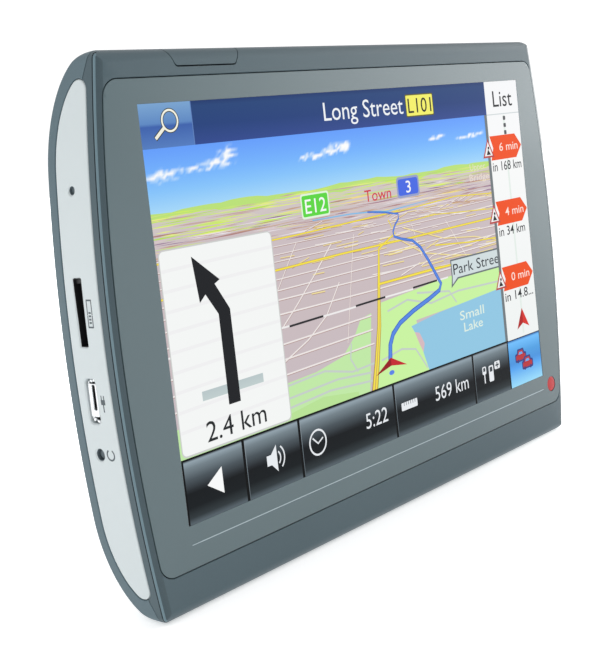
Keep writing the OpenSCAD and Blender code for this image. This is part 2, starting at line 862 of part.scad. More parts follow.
module antenna_lead() {
    color([0.15, 0.15, 0.15]) placed() {
        rod_x(7.6, 18, 31.5, antenna_x - 0.2, 0.55);
        rod_d(31.5, 18, board_back, 8.3, 1.3);
    }
}

front_housing();
rear_shell();
left_side_cap();
right_side_cap();
touch_panel();
panel_gasket();
accent_strip();
badge_dot();
lcd_cell();
backlight();
lcd_frame();
chassis();
chassis_screws();
standoffs();
housing_screws();
main_board();
board_screws();
processor_shield();
processor();
memory_chips();
radio_shield();
radio_chip();
power_parts();
display_connector();
touch_connector();
display_ribbon();
touch_ribbon();
usb_shell();
usb_tongue();
card_socket();
card_contacts();
microphone();
microphone_boot();
power_key();
power_plunger();
power_switch();
reset_button();
reset_plunger();
reset_switch();
battery_pack();
battery_pad();
battery_connector();
battery_lead();
speaker_frame();
speaker_cone();
speaker_magnet();
speaker_gasket();
speaker_mesh();
speaker_lead();
gps_antenna();
antenna_board();
antenna_lead();
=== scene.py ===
import math
import random

import bmesh
import bpy
from mathutils import Matrix, Vector, noise


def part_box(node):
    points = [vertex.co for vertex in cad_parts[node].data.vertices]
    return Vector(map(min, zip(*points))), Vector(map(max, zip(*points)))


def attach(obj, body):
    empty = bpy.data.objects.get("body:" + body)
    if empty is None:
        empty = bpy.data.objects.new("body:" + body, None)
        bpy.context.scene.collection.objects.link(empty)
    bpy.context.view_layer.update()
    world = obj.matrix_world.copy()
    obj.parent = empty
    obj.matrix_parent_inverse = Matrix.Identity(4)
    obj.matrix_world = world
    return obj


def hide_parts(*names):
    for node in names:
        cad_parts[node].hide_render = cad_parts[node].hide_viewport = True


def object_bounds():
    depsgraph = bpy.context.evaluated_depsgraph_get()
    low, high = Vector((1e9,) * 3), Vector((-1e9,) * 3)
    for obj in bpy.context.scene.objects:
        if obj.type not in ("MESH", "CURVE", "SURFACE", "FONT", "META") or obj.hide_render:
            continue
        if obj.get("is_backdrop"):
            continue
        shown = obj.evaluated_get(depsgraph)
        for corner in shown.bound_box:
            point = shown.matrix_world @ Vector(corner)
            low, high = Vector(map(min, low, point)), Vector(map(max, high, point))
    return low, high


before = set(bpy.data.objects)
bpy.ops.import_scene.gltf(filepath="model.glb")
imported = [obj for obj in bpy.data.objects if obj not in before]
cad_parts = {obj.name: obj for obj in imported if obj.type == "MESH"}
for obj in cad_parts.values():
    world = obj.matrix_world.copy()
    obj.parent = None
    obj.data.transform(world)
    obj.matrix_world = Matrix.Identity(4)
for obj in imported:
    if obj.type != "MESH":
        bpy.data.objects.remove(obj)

# ---- Sizes of the navigator, in millimetres ----
# X runs along the display and Z is up. Depth is counted backwards from the front plane.

MM = 0.001
CAD_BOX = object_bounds()
BODY_W, BODY_D, BODY_H = (round(side / MM, 3) for side in CAD_BOX[1] - CAD_BOX[0])
END_X = BODY_W / 2
TOP_Z = BODY_H / 2
END_ARC_R = 331
END_ARC_X = END_ARC_R - END_X
OUTER_CORNER_R = 2
CROWN_DEPTH = 2.5
FRONT_EDGE_H = 2.4
SHOULDER_TOP_H = 21.1
SHOULDER_LOW_H = 19.4
WALL = 1.5
END_WALL = 2.6
LEDGE_DEPTH = 2.7
STRAIGHT_X = 72.5
FAR = 90

PANEL_END = 76.1
PANEL_TOP = 47.2
PANEL_LOW = -44.3
PANEL_R = 3
PANEL_T = 1.5
PANEL_GAP = 0.17

# Each end's front edge slopes back in a band and a narrow bevel, to a straight side with a fine groove; the
# frame's band and groove carry painted shade and its bevel a painted highlight.
BAND_X = 77.45
BAND_DEPTH = 0.36
LINE_X = 77.67
LINE_DEPTH = 0.48
SIDE_DEPTH = 0.7
GROOVE_X = 77.2
GROOVE_FRONT = 0.8
GROOVE_BACK = 1.02

MODULE_END = 69.8
MODULE_TOP = 45.7
MODULE_LOW = -42.7

PARTING_DEPTH = 3.58
PARTING_Z = 48.02
PARTING_SLOPE = 1.59 / 3.92
PARTING_GAP = 0.09

CAP_FRONT = 2.85
CAP_REAR = 12.2
CAP_RISE_TOP = 17.5
CAP_RISE_LOW = 15.8
CAP_T = 1.2
CAP_TIP_ANGLE = 65
CAP_GAP = 0.12

CARD_SLOT = (8.38, 6.4)
CARD_SLOT_SIZE = (2.1, 12.5)
CHARGE_PORT = (8.35, -9.9)
CHARGE_PORT_SIZE = (2.9, 8.4)
MIC_HOLE = (7.95, 28.4)
MIC_R = 0.8
RESET_HOLE = (8.65, -20)
RESET_R = 1.15

KEY_X = -46.8
KEY_LOW = 49.25
KEY_LOW_W = 16
KEY_TOP_W = 19.7
KEY_ROUND = 1
KEY_REAR = 9.5
KEY_SKIN = 1.3
KEY_SIDE_GAP = 0.2
KEY_LOW_GAP = 0.28

SCREW_PLACES = [(-67, -28), (-67, 28), (67, -28), (67, 28)]
SCREW_SEAT = BODY_D - 1.3
HOLDER_SLOTS = [(-30, -24), (30, -24)]
SPEAKER = (60, -12)
SPEAKER_R = 10

PICTURE_LEFT = -65.5
PICTURE_TOP = 42.5
PICTURE_UNIT = 1.31
PICTURE_WIDE = 100
PICTURE_HIGH = 60
PICTURE_RECESS = 0.16


# ---- Colours and shader maths ----

def tint(red, green, blue):
    """A display colour, 0 to 255 in each channel, as the linear colour that the shaders use."""
    linear = []
    for channel in (red, green, blue):
        value = channel / 255
        linear.append(value / 12.92 if value <= 0.04045 else ((value + 0.055) / 1.055) ** 2.4)
    return (*linear, 1.0)


class Wire:
    """One output of a shader node. Arithmetic on it adds Math nodes."""

    def __init__(self, finish, socket):
        self.finish = finish
        self.socket = socket

    def math(self, operation, *values):
        return self.finish.node("ShaderNodeMath", {"operation": operation}, dict(enumerate(values)))["Value"]

    def __add__(self, other):
        return self.math("ADD", self, other)

    __radd__ = __add__

    def __sub__(self, other):
        return self.math("SUBTRACT", self, other)

    def __rsub__(self, other):
        return self.math("SUBTRACT", other, self)

    def __mul__(self, other):
        return self.math("MULTIPLY", self, other)

    __rmul__ = __mul__

    def above(self, level):
        return self.math("GREATER_THAN", self, level)

    def sine(self):
        return self.math("SINE", self)

    def at_least(self, other):
        return self.math("MAXIMUM", self, other)


class Outputs:
    """The outputs of one node, by name."""

    def __init__(self, finish, node):
        self.finish = finish
        self.node = node

    def __getitem__(self, name):
        for socket in self.node.outputs:
            if socket.name == name and socket.enabled:
                return Wire(self.finish, socket)
        raise KeyError(name)


class Finish:
    """A material built round one Principled shader, or the nodes of the room's own light."""

    def __init__(self, name, room=None):
        if room:
            room.use_nodes = True
            self.tree = room.node_tree
            return
        self.material = bpy.data.materials.new(name)
        self.material.use_nodes = True
        self.tree = self.material.node_tree
        self.tree.nodes.clear()
        self.shader = self.tree.nodes.new("ShaderNodeBsdfPrincipled")
        output = self.tree.nodes.new("ShaderNodeOutputMaterial")
        self.tree.links.new(self.shader.outputs["BSDF"], output.inputs["Surface"])

    def feed(self, socket, value):
        if isinstance(value, Wire):
            self.tree.links.new(value.socket, socket)
        else:
            socket.default_value = value

    def node(self, kind, settings=None, values=None):
        node = self.tree.nodes.new(kind)
        for name, setting in (settings or {}).items():
            if name == "stops":
                ramp = node.color_ramp.elements
                while len(ramp) < len(setting):
                    ramp.new(0.5)
                for element, (position, colour) in zip(ramp, setting):
                    element.position = position
                    element.color = colour
            else:
                setattr(node, name, setting)
        for name, value in (values or {}).items():
            if isinstance(name, int):
                self.feed(node.inputs[name], value)
                continue
            for socket in node.inputs:
                if socket.name == name and socket.enabled:
                    self.feed(socket, value)
                    break
        return Outputs(self, node)

    def set(self, **values):
        for name, value in values.items():
            self.feed(self.shader.inputs[name.replace("_", " ")], value)
        return self

    def place(self, stretch=(1, 1, 1)):
        """Object coordinates in millimetres, stretched where a pattern has a direction."""
        spot = self.node("ShaderNodeTexCoord")["Object"]
        scale = tuple(side / MM for side in stretch)
        return self.node("ShaderNodeMapping", None, {"Vector": spot, "Scale": scale})["Vector"]

    def noise(self, spot, scale, detail=2.0, rough=0.5):
        values = {"Vector": spot, "Scale": scale, "Detail": detail, "Roughness": rough}
        return self.node("ShaderNodeTexNoise", {"noise_dimensions": "3D"}, values)["Fac"]

    def cells(self, spot, scale, feature="F1"):
        values = {"Vector": spot, "Scale": scale}
        return self.node("ShaderNodeTexVoronoi", {"feature": feature}, values)["Distance"]

    def column(self, pitch, axis="X"):
        """A wave of a pitch in millimetres, from -1 to 1, along one axis."""
        along = self.node("ShaderNodeSeparateXYZ", None, {"Vector": self.place()})[axis]
        return (along * (math.tau / pitch)).sine()

    def between(self, factor, low, high):
        """A colour that goes from low to high as the factor goes from 0 to 1."""
        settings = {"data_type": "RGBA"}
        return self.node("ShaderNodeMix", settings, {"Factor": factor, "A": low, "B": high})["Result"]

    def bump(self, height, distance):
        """Relief of a real height in millimetres."""
        values = {"Height": height, "Distance": distance * MM, "Strength": 1.0}
        return self.node("ShaderNodeBump", None, values)["Normal"]


def shade(colour, factor):
    """A lighter or darker version of a colour."""
    return tuple(min(1.0, channel * factor) for channel in colour[:3]) + (1.0,)


# ---- Finishes ----

def moulded(name, colour, roughness, grain, relief, patchy=0.04):
    """Moulded plastic: a fine spark-eroded grain and a slow drift of colour."""
    finish = Finish(name)
    spot = finish.place()
    drift = finish.noise(spot, 0.035, 3)
    fine = finish.noise(spot, 1 / grain, 3, 0.6)
    scuff = finish.noise(spot, 0.3, 4, 0.7)
    mixed = finish.between(drift * 0.7 + fine * 0.3, shade(colour, 1 - patchy), shade(colour, 1 + patchy))
    finish.set(
        Base_Color=mixed,
        Roughness=fine * 0.08 + scuff * 0.08 + (roughness - 0.08),
        Normal=finish.bump(fine, relief),
    )
    return finish


def lacquer(name, colour, roughness, with_painted_shading=False):
    """Lacquered plastic with a trace of fine metal flake, and, where asked, painted highlights and painted
    shade on the front frame's edges, groove and panel seam.
    """
    finish = Finish(name)
    spot = finish.place()
    drift = finish.noise(spot, 0.03, 3)
    flake = finish.cells(spot, 7).above(0.66)
    fine = finish.noise(spot, 3, 3, 0.6)
    base = finish.between(drift, shade(colour, 0.95), shade(colour, 1.05))
    if with_painted_shading:
        tone = finish.node("ShaderNodeAttribute", {"attribute_name": "trim"})["Color"]
        parts = finish.node("ShaderNodeSeparateColor", None, {"Color": tone})
        # Painted light and shade from the face colours: red is a painted highlight, green is painted shade on
        # the sloping band, blue is painted shade in the groove and seam.
        base = finish.between(parts["Red"], base, shade(colour, 2.1))
        base = finish.between(parts["Green"], base, shade(colour, 0.8))
        base = finish.between(parts["Blue"], base, shade(colour, 0.3))
    finish.set(
        Base_Color=finish.between(flake * 0.1, base, shade(colour, 1.8)),
        Metallic=flake * 0.1,
        Roughness=fine * 0.1 + (roughness - 0.05),
        Specular_IOR_Level=0.25,
        Normal=finish.bump(fine, 0.003),
    )
    return finish.material


def bezel_plastic():
    return lacquer("bezel_plastic", tint(76, 93, 100), 0.36)


# The front frame's lacquer, with painted highlights and painted shade on its edges, groove and panel seam.
def frame_plastic_painted_shading():
    return lacquer("frame_plastic_painted_shading", tint(76, 93, 100), 0.36, with_painted_shading=True)


def housing_plastic():
    return lacquer("housing_plastic", tint(92, 111, 119), 0.4)


def cap_plastic():
    return moulded("cap_plastic", tint(205, 214, 216), 0.42, 0.45, 0.01, 0.015).material


def panel_gloss():
    """Glossy tinted film over the whole front."""
    finish = Finish("panel_gloss")
    spot = finish.place()
    drift = finish.noise(spot, 0.02, 2)
    ripple = finish.noise(spot, 0.06, 2)
    fine = finish.noise(spot, 4, 2)
    finish.set(
        Base_Color=finish.between(drift, tint(84, 102, 107), tint(90, 108, 113)),
        Roughness=fine * 0.03 + ripple * 0.02 + 0.15,
        Normal=finish.bump(ripple, 0.003),
    )
    return finish.material


def lit_picture():
    """The lit display: each shape carries its own colour, seen under a faintly glossy film."""
    finish = Finish("lit_picture")
    paint = finish.node("ShaderNodeAttribute", {"attribute_name": "paint"})["Color"]
    finish.set(
        Base_Color=(0.004, 0.004, 0.004, 1),
        Roughness=finish.column(0.164) * 0.02 + 0.2,
        Specular_IOR_Level=0.03,
        Emission_Color=paint,
        Emission_Strength=1.0,
    )
    return finish.material


def rolled_steel(name, colour, roughness, streak=(0.05, 1, 1)):
    """Sheet metal with the fine streaks of the rolling mill."""
    finish = Finish(name)
    spot = finish.place(streak)
    lines = finish.noise(spot, 6, 3, 0.7)
    blotch = finish.noise(finish.place(), 0.4, 3)
    finish.set(
        Base_Color=finish.between(blotch, shade(colour, 0.92), shade(colour, 1.05)),
        Metallic=1.0,
        Roughness=lines * 0.18 + (roughness - 0.09),
        Normal=finish.bump(lines, 0.003),
    )
    return finish.material


def bright_strip():
    return rolled_steel("bright_strip", tint(170, 184, 190), 0.3, (0.04, 1, 1))


def sheet_steel():
    return rolled_steel("sheet_steel", tint(186, 189, 192), 0.35)


def screw_steel():
    return rolled_steel("screw_steel", tint(198, 200, 203), 0.28, (1, 1, 1))


def black_screw():
    return rolled_steel("black_screw", tint(62, 64, 68), 0.34, (1, 1, 1))


def socket_steel():
    return rolled_steel("socket_steel", tint(232, 235, 237), 0.22, (0.2, 1, 1))


def tin_plate():
    return rolled_steel("tin_plate", tint(200, 202, 204), 0.4, (1, 1, 0.1))


def brass():
    return rolled_steel("brass", tint(205, 172, 92), 0.26, (1, 0.1, 1))


def gold_contact():
    return rolled_steel("gold_contact", tint(226, 186, 96), 0.22)


def magnet():
    return rolled_steel("magnet", tint(150, 152, 156), 0.3, (1, 1, 1))


def circuit_board():
    """Green solder mask with copper runs showing through it."""
    finish = Finish("circuit_board")
    spot = finish.place()
    track = 1 - finish.cells(spot, 0.45, "DISTANCE_TO_EDGE").above(0.07)
    weave = finish.noise(spot, 3, 2)
    board = finish.between(weave, tint(8, 66, 38), tint(14, 82, 48))
    finish.set(
        Base_Color=finish.between(track * 0.7, board, tint(46, 122, 66)),
        Roughness=weave * 0.1 + 0.3,
        Normal=finish.bump(track, 0.03),
    )
    return finish.material


def chip_black():
    return moulded("chip_black", tint(36, 37, 39), 0.55, 0.12, 0.006).material


def connector_plastic():
    return moulded("connector_plastic", tint(226, 220, 200), 0.45, 0.3, 0.01).material


def black_plastic():
    return moulded("black_plastic", tint(26, 27, 29), 0.48, 0.25, 0.01).material


def hole_plastic():
    return moulded("hole_plastic", tint(96, 108, 114), 0.55, 0.2, 0.01).material


def rubber():
    return moulded("rubber", tint(34, 34, 35), 0.85, 0.2, 0.02).material


def foam():
    finish = moulded("foam", tint(30, 30, 31), 0.95, 0.5, 0.05)
    pores = finish.cells(finish.place(), 3)
    return finish.set(Normal=finish.bump(pores, 0.1)).material


def ribbon_film():
    """Amber film with copper lines printed along it."""
    finish = Finish("ribbon_film")
    line = finish.column(0.5).above(0.1)
    haze = finish.noise(finish.place(), 0.5, 2)
    base = finish.between(haze, tint(186, 110, 32), tint(204, 128, 44))
    finish.set(Base_Color=finish.between(line * 0.6, base, tint(150, 78, 24)), Roughness=haze * 0.1 + 0.3)
    return finish.material


def pouch_foil():
    """Crinkled aluminium laminate of the battery."""
    finish = Finish("pouch_foil")
    spot = finish.place()
    crinkle = finish.noise(spot, 0.5, 5, 0.65)
    finish.set(
        Base_Color=finish.between(crinkle, tint(176, 180, 186), tint(206, 209, 214)),
        Metallic=0.85,
        Roughness=crinkle * 0.2 + 0.3,
        Normal=finish.bump(crinkle, 0.12),
    )
    return finish.material


def wire_jacket(name, colour):
    return moulded(name, colour, 0.45, 0.15, 0.008).material


def ceramic():
    return moulded("ceramic", tint(206, 196, 172), 0.6, 0.25, 0.02).material


def cone_paper():
    """Pulp paper of the loudspeaker cone."""
    finish = moulded("cone_paper", tint(58, 57, 56), 0.9, 0.35, 0.05)
    fibres = finish.noise(finish.place((1, 1, 0.2)), 3, 4, 0.8)
    return finish.set(Normal=finish.bump(fibres, 0.06)).material


def speaker_cloth():
    """Fine woven mesh behind the loudspeaker slots."""
    finish = Finish("speaker_cloth")
    weave = finish.column(0.45) * finish.column(0.45, "Z")
    finish.set(
        Base_Color=finish.between(weave * 0.5 + 0.5, tint(16, 16, 17), tint(52, 53, 55)),
        Roughness=weave * 0.1 + 0.7,
        Normal=finish.bump(weave, 0.05),
    )
    return finish.material


def light_guide():
    return moulded("light_guide", tint(240, 241, 238), 0.3, 0.5, 0.004).material


def display_glass():
    finish = moulded("display_glass", tint(32, 38, 46), 0.12, 1.0, 0.001)
    return finish.set(Coat_Weight=0.5).material


def red_enamel():
    """Glossy red enamel of the corner dot, its red drifting a little at random."""
    finish = Finish("red_enamel")
    pool = finish.noise(finish.place(), 0.8, 2)
    finish.set(
        Base_Color=finish.between(pool, tint(176, 8, 20), tint(196, 16, 28)),
        Roughness=pool * 0.1 + 0.25,
        Normal=finish.bump(pool, 0.02),
        Specular_IOR_Level=0.3,
    )
    return finish.material


def printed_grey():
    """Pad-printed ink of the small marks beside the sockets."""
    return moulded("printed_grey", tint(84, 94, 100), 0.6, 0.1, 0.003).material


def studio_floor():
    """A pale sheet that glows more towards the far right."""
    finish = Finish("studio_floor")
    drift = finish.noise(finish.place(), 0.004, 3)
    fine = finish.noise(finish.place(), 0.5, 2)
    settings = {"operation": "DOT_PRODUCT"}
    across = finish.node("ShaderNodeVectorMath", settings, {0: finish.place(), 1: (1, 1.2, 0)})["Value"]
    settings = {"interpolation_type": "SMOOTHSTEP"}
    values = {"Value": across, "From Min": 0.0, "From Max": 300.0, "To Min": 0.0, "To Max": 1.0}
    glow = finish.node("ShaderNodeMapRange", settings, values)["Result"]
    finish.set(
        Base_Color=finish.between(drift, (0.93, 0.93, 0.93, 1), (0.96, 0.96, 0.96, 1)),
        Roughness=fine * 0.1 + 0.8,
        Normal=finish.bump(fine, 0.01),
        Emission_Color=finish.between(glow, (0.8, 0.8, 0.8, 1), (2.8, 2.8, 2.8, 1)),
        Emission_Strength=0.6,
    )
    return finish.material


# ---- Shaping tools ----

def end_half_width(z):
    """Half the body's width at a height: a shallow arc with a small round at its ends."""
    reach = END_ARC_R - OUTER_CORNER_R
    round_z = TOP_Z - OUTER_CORNER_R
    round_x = math.sqrt(reach ** 2 - round_z ** 2) - END_ARC_X
    height = min(abs(z), TOP_Z)
    if height > round_z * END_ARC_R / reach:
        return round_x + math.sqrt(max(0, OUTER_CORNER_R ** 2 - (height - round_z) ** 2))
    return math.sqrt(END_ARC_R ** 2 - height ** 2) - END_ARC_X


def arc(centre, across, up, start, end, steps):
    """Points along part of an ellipse."""
    points = []
    for i in range(steps + 1):
        turn = math.radians(start + (end - start) * i / steps)
        points.append((centre[0] + across * math.cos(turn), centre[1] + up * math.sin(turn)))
    return points


def without_repeats(points):
    """A closed outline with no point twice."""
    kept = [points[0]]
    for point in points[1:]:
        if math.dist(point, kept[-1]) > 1e-4:
            kept.append(point)
    if math.dist(kept[0], kept[-1]) < 1e-4:
        kept.pop()
    return kept


def circle(centre, radius, corners=48):
    """A closed round outline."""
    return arc(centre, radius, radius, 0, 360 * (corners - 1) / corners, corners - 1)


def body_section(inset=0.0):
    """The section seen from an end, in depth and height."""
    reach = BODY_D - CROWN_DEPTH - inset
    nose = CROWN_DEPTH - inset
    edge = FRONT_EDGE_H - inset
    points = arc((CROWN_DEPTH, TOP_Z - FRONT_EDGE_H), nose, edge, 180, 90, 10)
    points += arc((CROWN_DEPTH, TOP_Z - SHOULDER_TOP_H), reach, SHOULDER_TOP_H - inset, 90, 0, 36)
    points += arc((CROWN_DEPTH, SHOULDER_LOW_H - TOP_Z), reach, SHOULDER_LOW_H - inset, 0, -90, 36)
    points += arc((CROWN_DEPTH, FRONT_EDGE_H - TOP_Z), nose, edge, -90, -180, 10)
    return without_repeats(points)


def soft_rect(centre, wide, high, radius, steps=8):
    """A rectangle with round corners."""
    points = []
    for quarter, (sx, sy) in enumerate([(1, 1), (-1, 1), (-1, -1), (1, -1)]):
        corner = (centre[0] + sx * (wide / 2 - radius), centre[1] + sy * (high / 2 - radius))
        points += arc(corner, radius, radius, 90 * quarter, 90 * quarter + 90, steps)
    return without_repeats(points)


def cap_outline(gap=0.0):
    """The side cap seen from an end: straight front and rear edges that meet in two round tips."""
    reach = CAP_REAR + gap - CROWN_DEPTH
    turn = math.radians(CAP_TIP_ANGLE)
    points = []
    for sign, shoulder, rise in ((1, SHOULDER_TOP_H, CAP_RISE_TOP), (-1, SHOULDER_LOW_H, CAP_RISE_LOW)):
        start = TOP_Z - shoulder
        rise += gap
        normal = Vector((math.cos(turn) / reach, math.sin(turn) / rise)).normalized()
        radius = (reach * math.cos(turn) - (CAP_FRONT - gap - CROWN_DEPTH)) / (1 + normal.x)
        tip_depth = CROWN_DEPTH + reach * math.cos(turn) - radius * normal.x
        tip = (tip_depth, start + rise * math.sin(turn) - radius * normal.y)
        lean = math.degrees(math.atan2(normal.y, normal.x))
        half = arc(tip, radius, radius, 180, lean, 14)
        half += arc((CROWN_DEPTH, start), reach, rise, CAP_TIP_ANGLE, 0, 26)
        points += [(d, z) for d, z in half] if sign > 0 else [(d, -z) for d, z in reversed(half)]
    return without_repeats(points)


def set_out(along, level, a, b):
    """A point of an outline, at a level along X, along the depth or along Z."""
    return {"x": (level, a, b), "d": (a, level, b), "z": (a, b, level)}[along]


def prism(outline, along, low, high):
    """A straight bar with one outline."""
    bm = bmesh.new()
    face = bm.faces.new([bm.verts.new(set_out(along, low, a, b)) for a, b in outline])
    pushed = bmesh.ops.extrude_face_region(bm, geom=[face])
    moved = [item for item in pushed["geom"] if isinstance(item, bmesh.types.BMVert)]
    bmesh.ops.translate(bm, verts=moved, vec=set_out(along, high - low, 0, 0))
    bmesh.ops.recalc_face_normals(bm, faces=bm.faces)
    return bm


def stack(outlines, along):
    """A bar whose outline changes at each level; outlines are (level, points) with equal counts."""
    bm = bmesh.new()
    loops = []
    for level, outline in outlines:
        corners = [bm.verts.new(set_out(along, level, a, b)) for a, b in outline]
        loops.append([bm.edges.new((corners[i - 1], corners[i])) for i in range(len(corners))])
    for near, away in zip(loops, loops[1:]):
        bmesh.ops.bridge_loops(bm, edges=near + away)
    for loop in (loops[0], loops[-1]):
        bmesh.ops.contextual_create(bm, geom=loop)
    bmesh.ops.recalc_face_normals(bm, faces=bm.faces)
    return bm


def turned(centre, levels, along, corners=48):
    """A round bar with a radius at each level."""
    return stack([(level, circle(centre, radius, corners)) for level, radius in levels], along)


def flared(centre, wide, high, radius, levels, along, steps=8):
    """A bar with round corners whose outline grows by some amount at each level."""
    outlines = []
    for level, grow in levels:
        outlines.append((level, soft_rect(centre, wide + 2 * grow, high + 2 * grow, radius + grow, steps)))
    return stack(outlines, along)


def soften(bm, chosen, width, segments=3):
    """Rounds the chosen edges."""
    edges = [edge for edge in bm.edges if chosen(edge)]
    bmesh.ops.bevel(
        bm, geom=edges, offset=width, offset_type="OFFSET", segments=segments,
        profile=0.5, affect="EDGES", material=-1, clamp_overlap=False,
    )
    return bm


def on_level(axis, level):
    """Picks the edges that lie in one plane."""
    return lambda edge: all(abs(vert.co[axis] - level) < 1e-4 for vert in edge.verts)


def combined(first, second, operation):
    """Two closed shapes joined, cut or crossed, as one new shape."""
    helpers = []
    for bm in (first, second):
        mesh = bpy.data.meshes.new("tool")
        bm.to_mesh(mesh)
        bm.free()
        helper = bpy.data.objects.new("tool", mesh)
        bpy.context.scene.collection.objects.link(helper)
        helpers.append(helper)
    body, tool = helpers
    modifier = body.modifiers.new("combine", "BOOLEAN")
    modifier.object = tool
    modifier.operation = operation
    modifier.solver = "EXACT"
    evaluated = body.evaluated_get(bpy.context.evaluated_depsgraph_get())
    result = bpy.data.meshes.new_from_object(evaluated)
    bm = bmesh.new()
    bm.from_mesh(result)
    bpy.data.meshes.remove(result)
    for helper in helpers:
        mesh = helper.data
        bpy.data.objects.remove(helper)
        bpy.data.meshes.remove(mesh)
    bmesh.ops.remove_doubles(bm, verts=bm.verts, dist=1e-4)
    return bm


def cut(bm, *tools):
    """A shape with the tools taken out of it, one by one."""
    for tool in tools:
        bm = combined(bm, tool, "DIFFERENCE")
    return bm


def joined(*shapes):
    """Separate shapes put into one mesh."""
    whole = shapes[0]
    for shape in shapes[1:]:
        mesh = bpy.data.meshes.new("part")
        shape.to_mesh(mesh)
        shape.free()
        whole.from_mesh(mesh)
        bpy.data.meshes.remove(mesh)
    return whole


ROWS = [2 * row for row in range(-25, 26)]
CORNER_ROWS = [50.6, 50.9, 51.2, 51.5, 51.8, 52.05, 52.25, 52.4, 52.5, 52.57]


def bowed(bm, rows=True):
    """Cuts a straight shape into rows where it needs them, and moves its ends onto their curve."""
    if rows:
        for level in ROWS + CORNER_ROWS + [-row for row in CORNER_ROWS]:
            geometry = bm.verts[:] + bm.edges[:] + bm.faces[:]
            bmesh.ops.bisect_plane(bm, geom=geometry, plane_co=(0, 0, level), plane_no=(0, 0, 1), dist=1e-4)
    for vert in bm.verts:
        if abs(vert.co.x) > STRAIGHT_X:
            vert.co.x -= math.copysign(END_X - end_half_width(vert.co.z), vert.co.x)
    return bm


def piece(bm, name, material, body="case", replaces=(), crease=32):
    """Turns a finished shape into an object in the part's frame."""
    bmesh.ops.translate(bm, verts=bm.verts, vec=(0, -BODY_D / 2, 0))
    bmesh.ops.scale(bm, verts=bm.verts, vec=(MM, MM, MM))
    for face in bm.faces:
        face.smooth = True
    mesh = bpy.data.meshes.new(name)
    bm.to_mesh(mesh)
    bm.free()
    mesh.set_sharp_from_angle(angle=math.radians(crease))
    mesh.materials.append(material)
    made = bpy.data.objects.new(name, mesh)
    bpy.context.scene.collection.objects.link(made)
    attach(made, body)
    if replaces:
        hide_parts(*replaces)
    return made


def cad_box(node):
    """The lower and the upper corner of a CAD node, in millimetres."""
    return [[side / MM for side in corner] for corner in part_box(node)]


def even_normals(made):
    """Keeps the large flat faces flat beside their small rounded edges."""
    modifier = made.modifiers.new("even_normals", "WEIGHTED_NORMAL")
    modifier.keep_sharp = True
    return made


# ---- Housing ----

def body_blank():
    """The whole outer form with straight ends, its sloping front edges and the fine groove behind them."""
    bm = prism(body_section(), "x", -END_X, END_X)
    for level in (-END_X, END_X):
        soften(bm, on_level(0, level), 0.4)
    side = [
        (PANEL_END, 0), (BAND_X, BAND_DEPTH), (LINE_X, LINE_DEPTH), (END_X, SIDE_DEPTH),
        (END_X, GROOVE_FRONT), (GROOVE_X, GROOVE_FRONT), (GROOVE_X, GROOVE_BACK), (END_X, GROOVE_BACK),
        (END_X, BODY_D),
    ]
    outline = [(-x, d) for x, d in side] + [(x, d) for x, d in reversed(side)]
    return combined(bm, prism(outline, "z", -TOP_Z - 1, TOP_Z + 1), "INTERSECT")


def inner_room():
    """The hollow inside the housing."""
    bm = prism(body_section(WALL), "x", END_WALL - END_X, END_X - END_WALL)
    limits = [(-FAR, LEDGE_DEPTH), (FAR, LEDGE_DEPTH), (FAR, BODY_D - WALL), (-FAR, BODY_D - WALL)]
    return combined(bm, prism(limits, "z", -60, 60), "INTERSECT")


def front_zone(gap):
    """Everything in front of the parting line."""
    reach = 12
    split = PARTING_DEPTH + gap
    back = split - reach * PARTING_SLOPE
    high = PARTING_Z + reach
    outline = [(-9, -high), (back, -high), (split, -PARTING_Z), (split, PARTING_Z), (back, high), (-9, high)]
    return prism(outline, "x", -FAR, FAR)


def cap_pocket(side):
    """The recess for one cap, with a small chamfer round its mouth."""
    floor = END_X - CAP_T
    levels = [(floor, CAP_GAP), (END_X - 0.12, CAP_GAP), (END_X + 0.3, CAP_GAP + 0.42)]
    return stack([(side * level, cap_outline(gap)) for level, gap in levels], "x")


def key_outline(side_gap=0.0, low_gap=0.0):
    """The power key seen from the front: it widens upwards and its lower corners are round."""
    rise = TOP_Z - KEY_LOW
    slope = (KEY_TOP_W - KEY_LOW_W) / 2 / rise
    low = KEY_LOW - low_gap
    half = KEY_LOW_W / 2 + side_gap - slope * low_gap
    lean = math.degrees(math.atan(slope))
    centre_x = half - KEY_ROUND * math.tan(math.radians(45 - lean / 2))
    right = arc((KEY_X + centre_x, low + KEY_ROUND), KEY_ROUND, KEY_ROUND, -90, -lean, 8)
    right.append((KEY_X + half + slope * (rise + low_gap + 4), TOP_Z + 4))
    left = [(2 * KEY_X - x, z) for x, z in reversed(right)]
    return without_repeats(right + left)


def key_window():
    """The opening for the power key in the case."""
    return prism(key_outline(KEY_SIDE_GAP, KEY_LOW_GAP), "d", -1, KEY_REAR + 0.3)


def socket_holes(flare, growth=0.0):
    """The card slot, the charging opening and the two small holes, flared at the outer face."""
    tools = []
    for centre, size, radius in ((CARD_SLOT, CARD_SLOT_SIZE, 0.25), (CHARGE_PORT, CHARGE_PORT_SIZE, 0.9)):
        levels = [(-70, growth), (flare - END_X, growth), (-END_X - 0.4, growth + flare + 0.4)]
        tools.append(flared(centre, *size, radius, levels, "x"))
    for centre, radius in ((MIC_HOLE, MIC_R), (RESET_HOLE, RESET_R)):
        bore = radius + growth
        levels = [(-70, bore), (flare - END_X, bore), (-END_X - 1, bore + flare + 1)]
        tools.append(turned(centre, levels, "x"))
    return tools


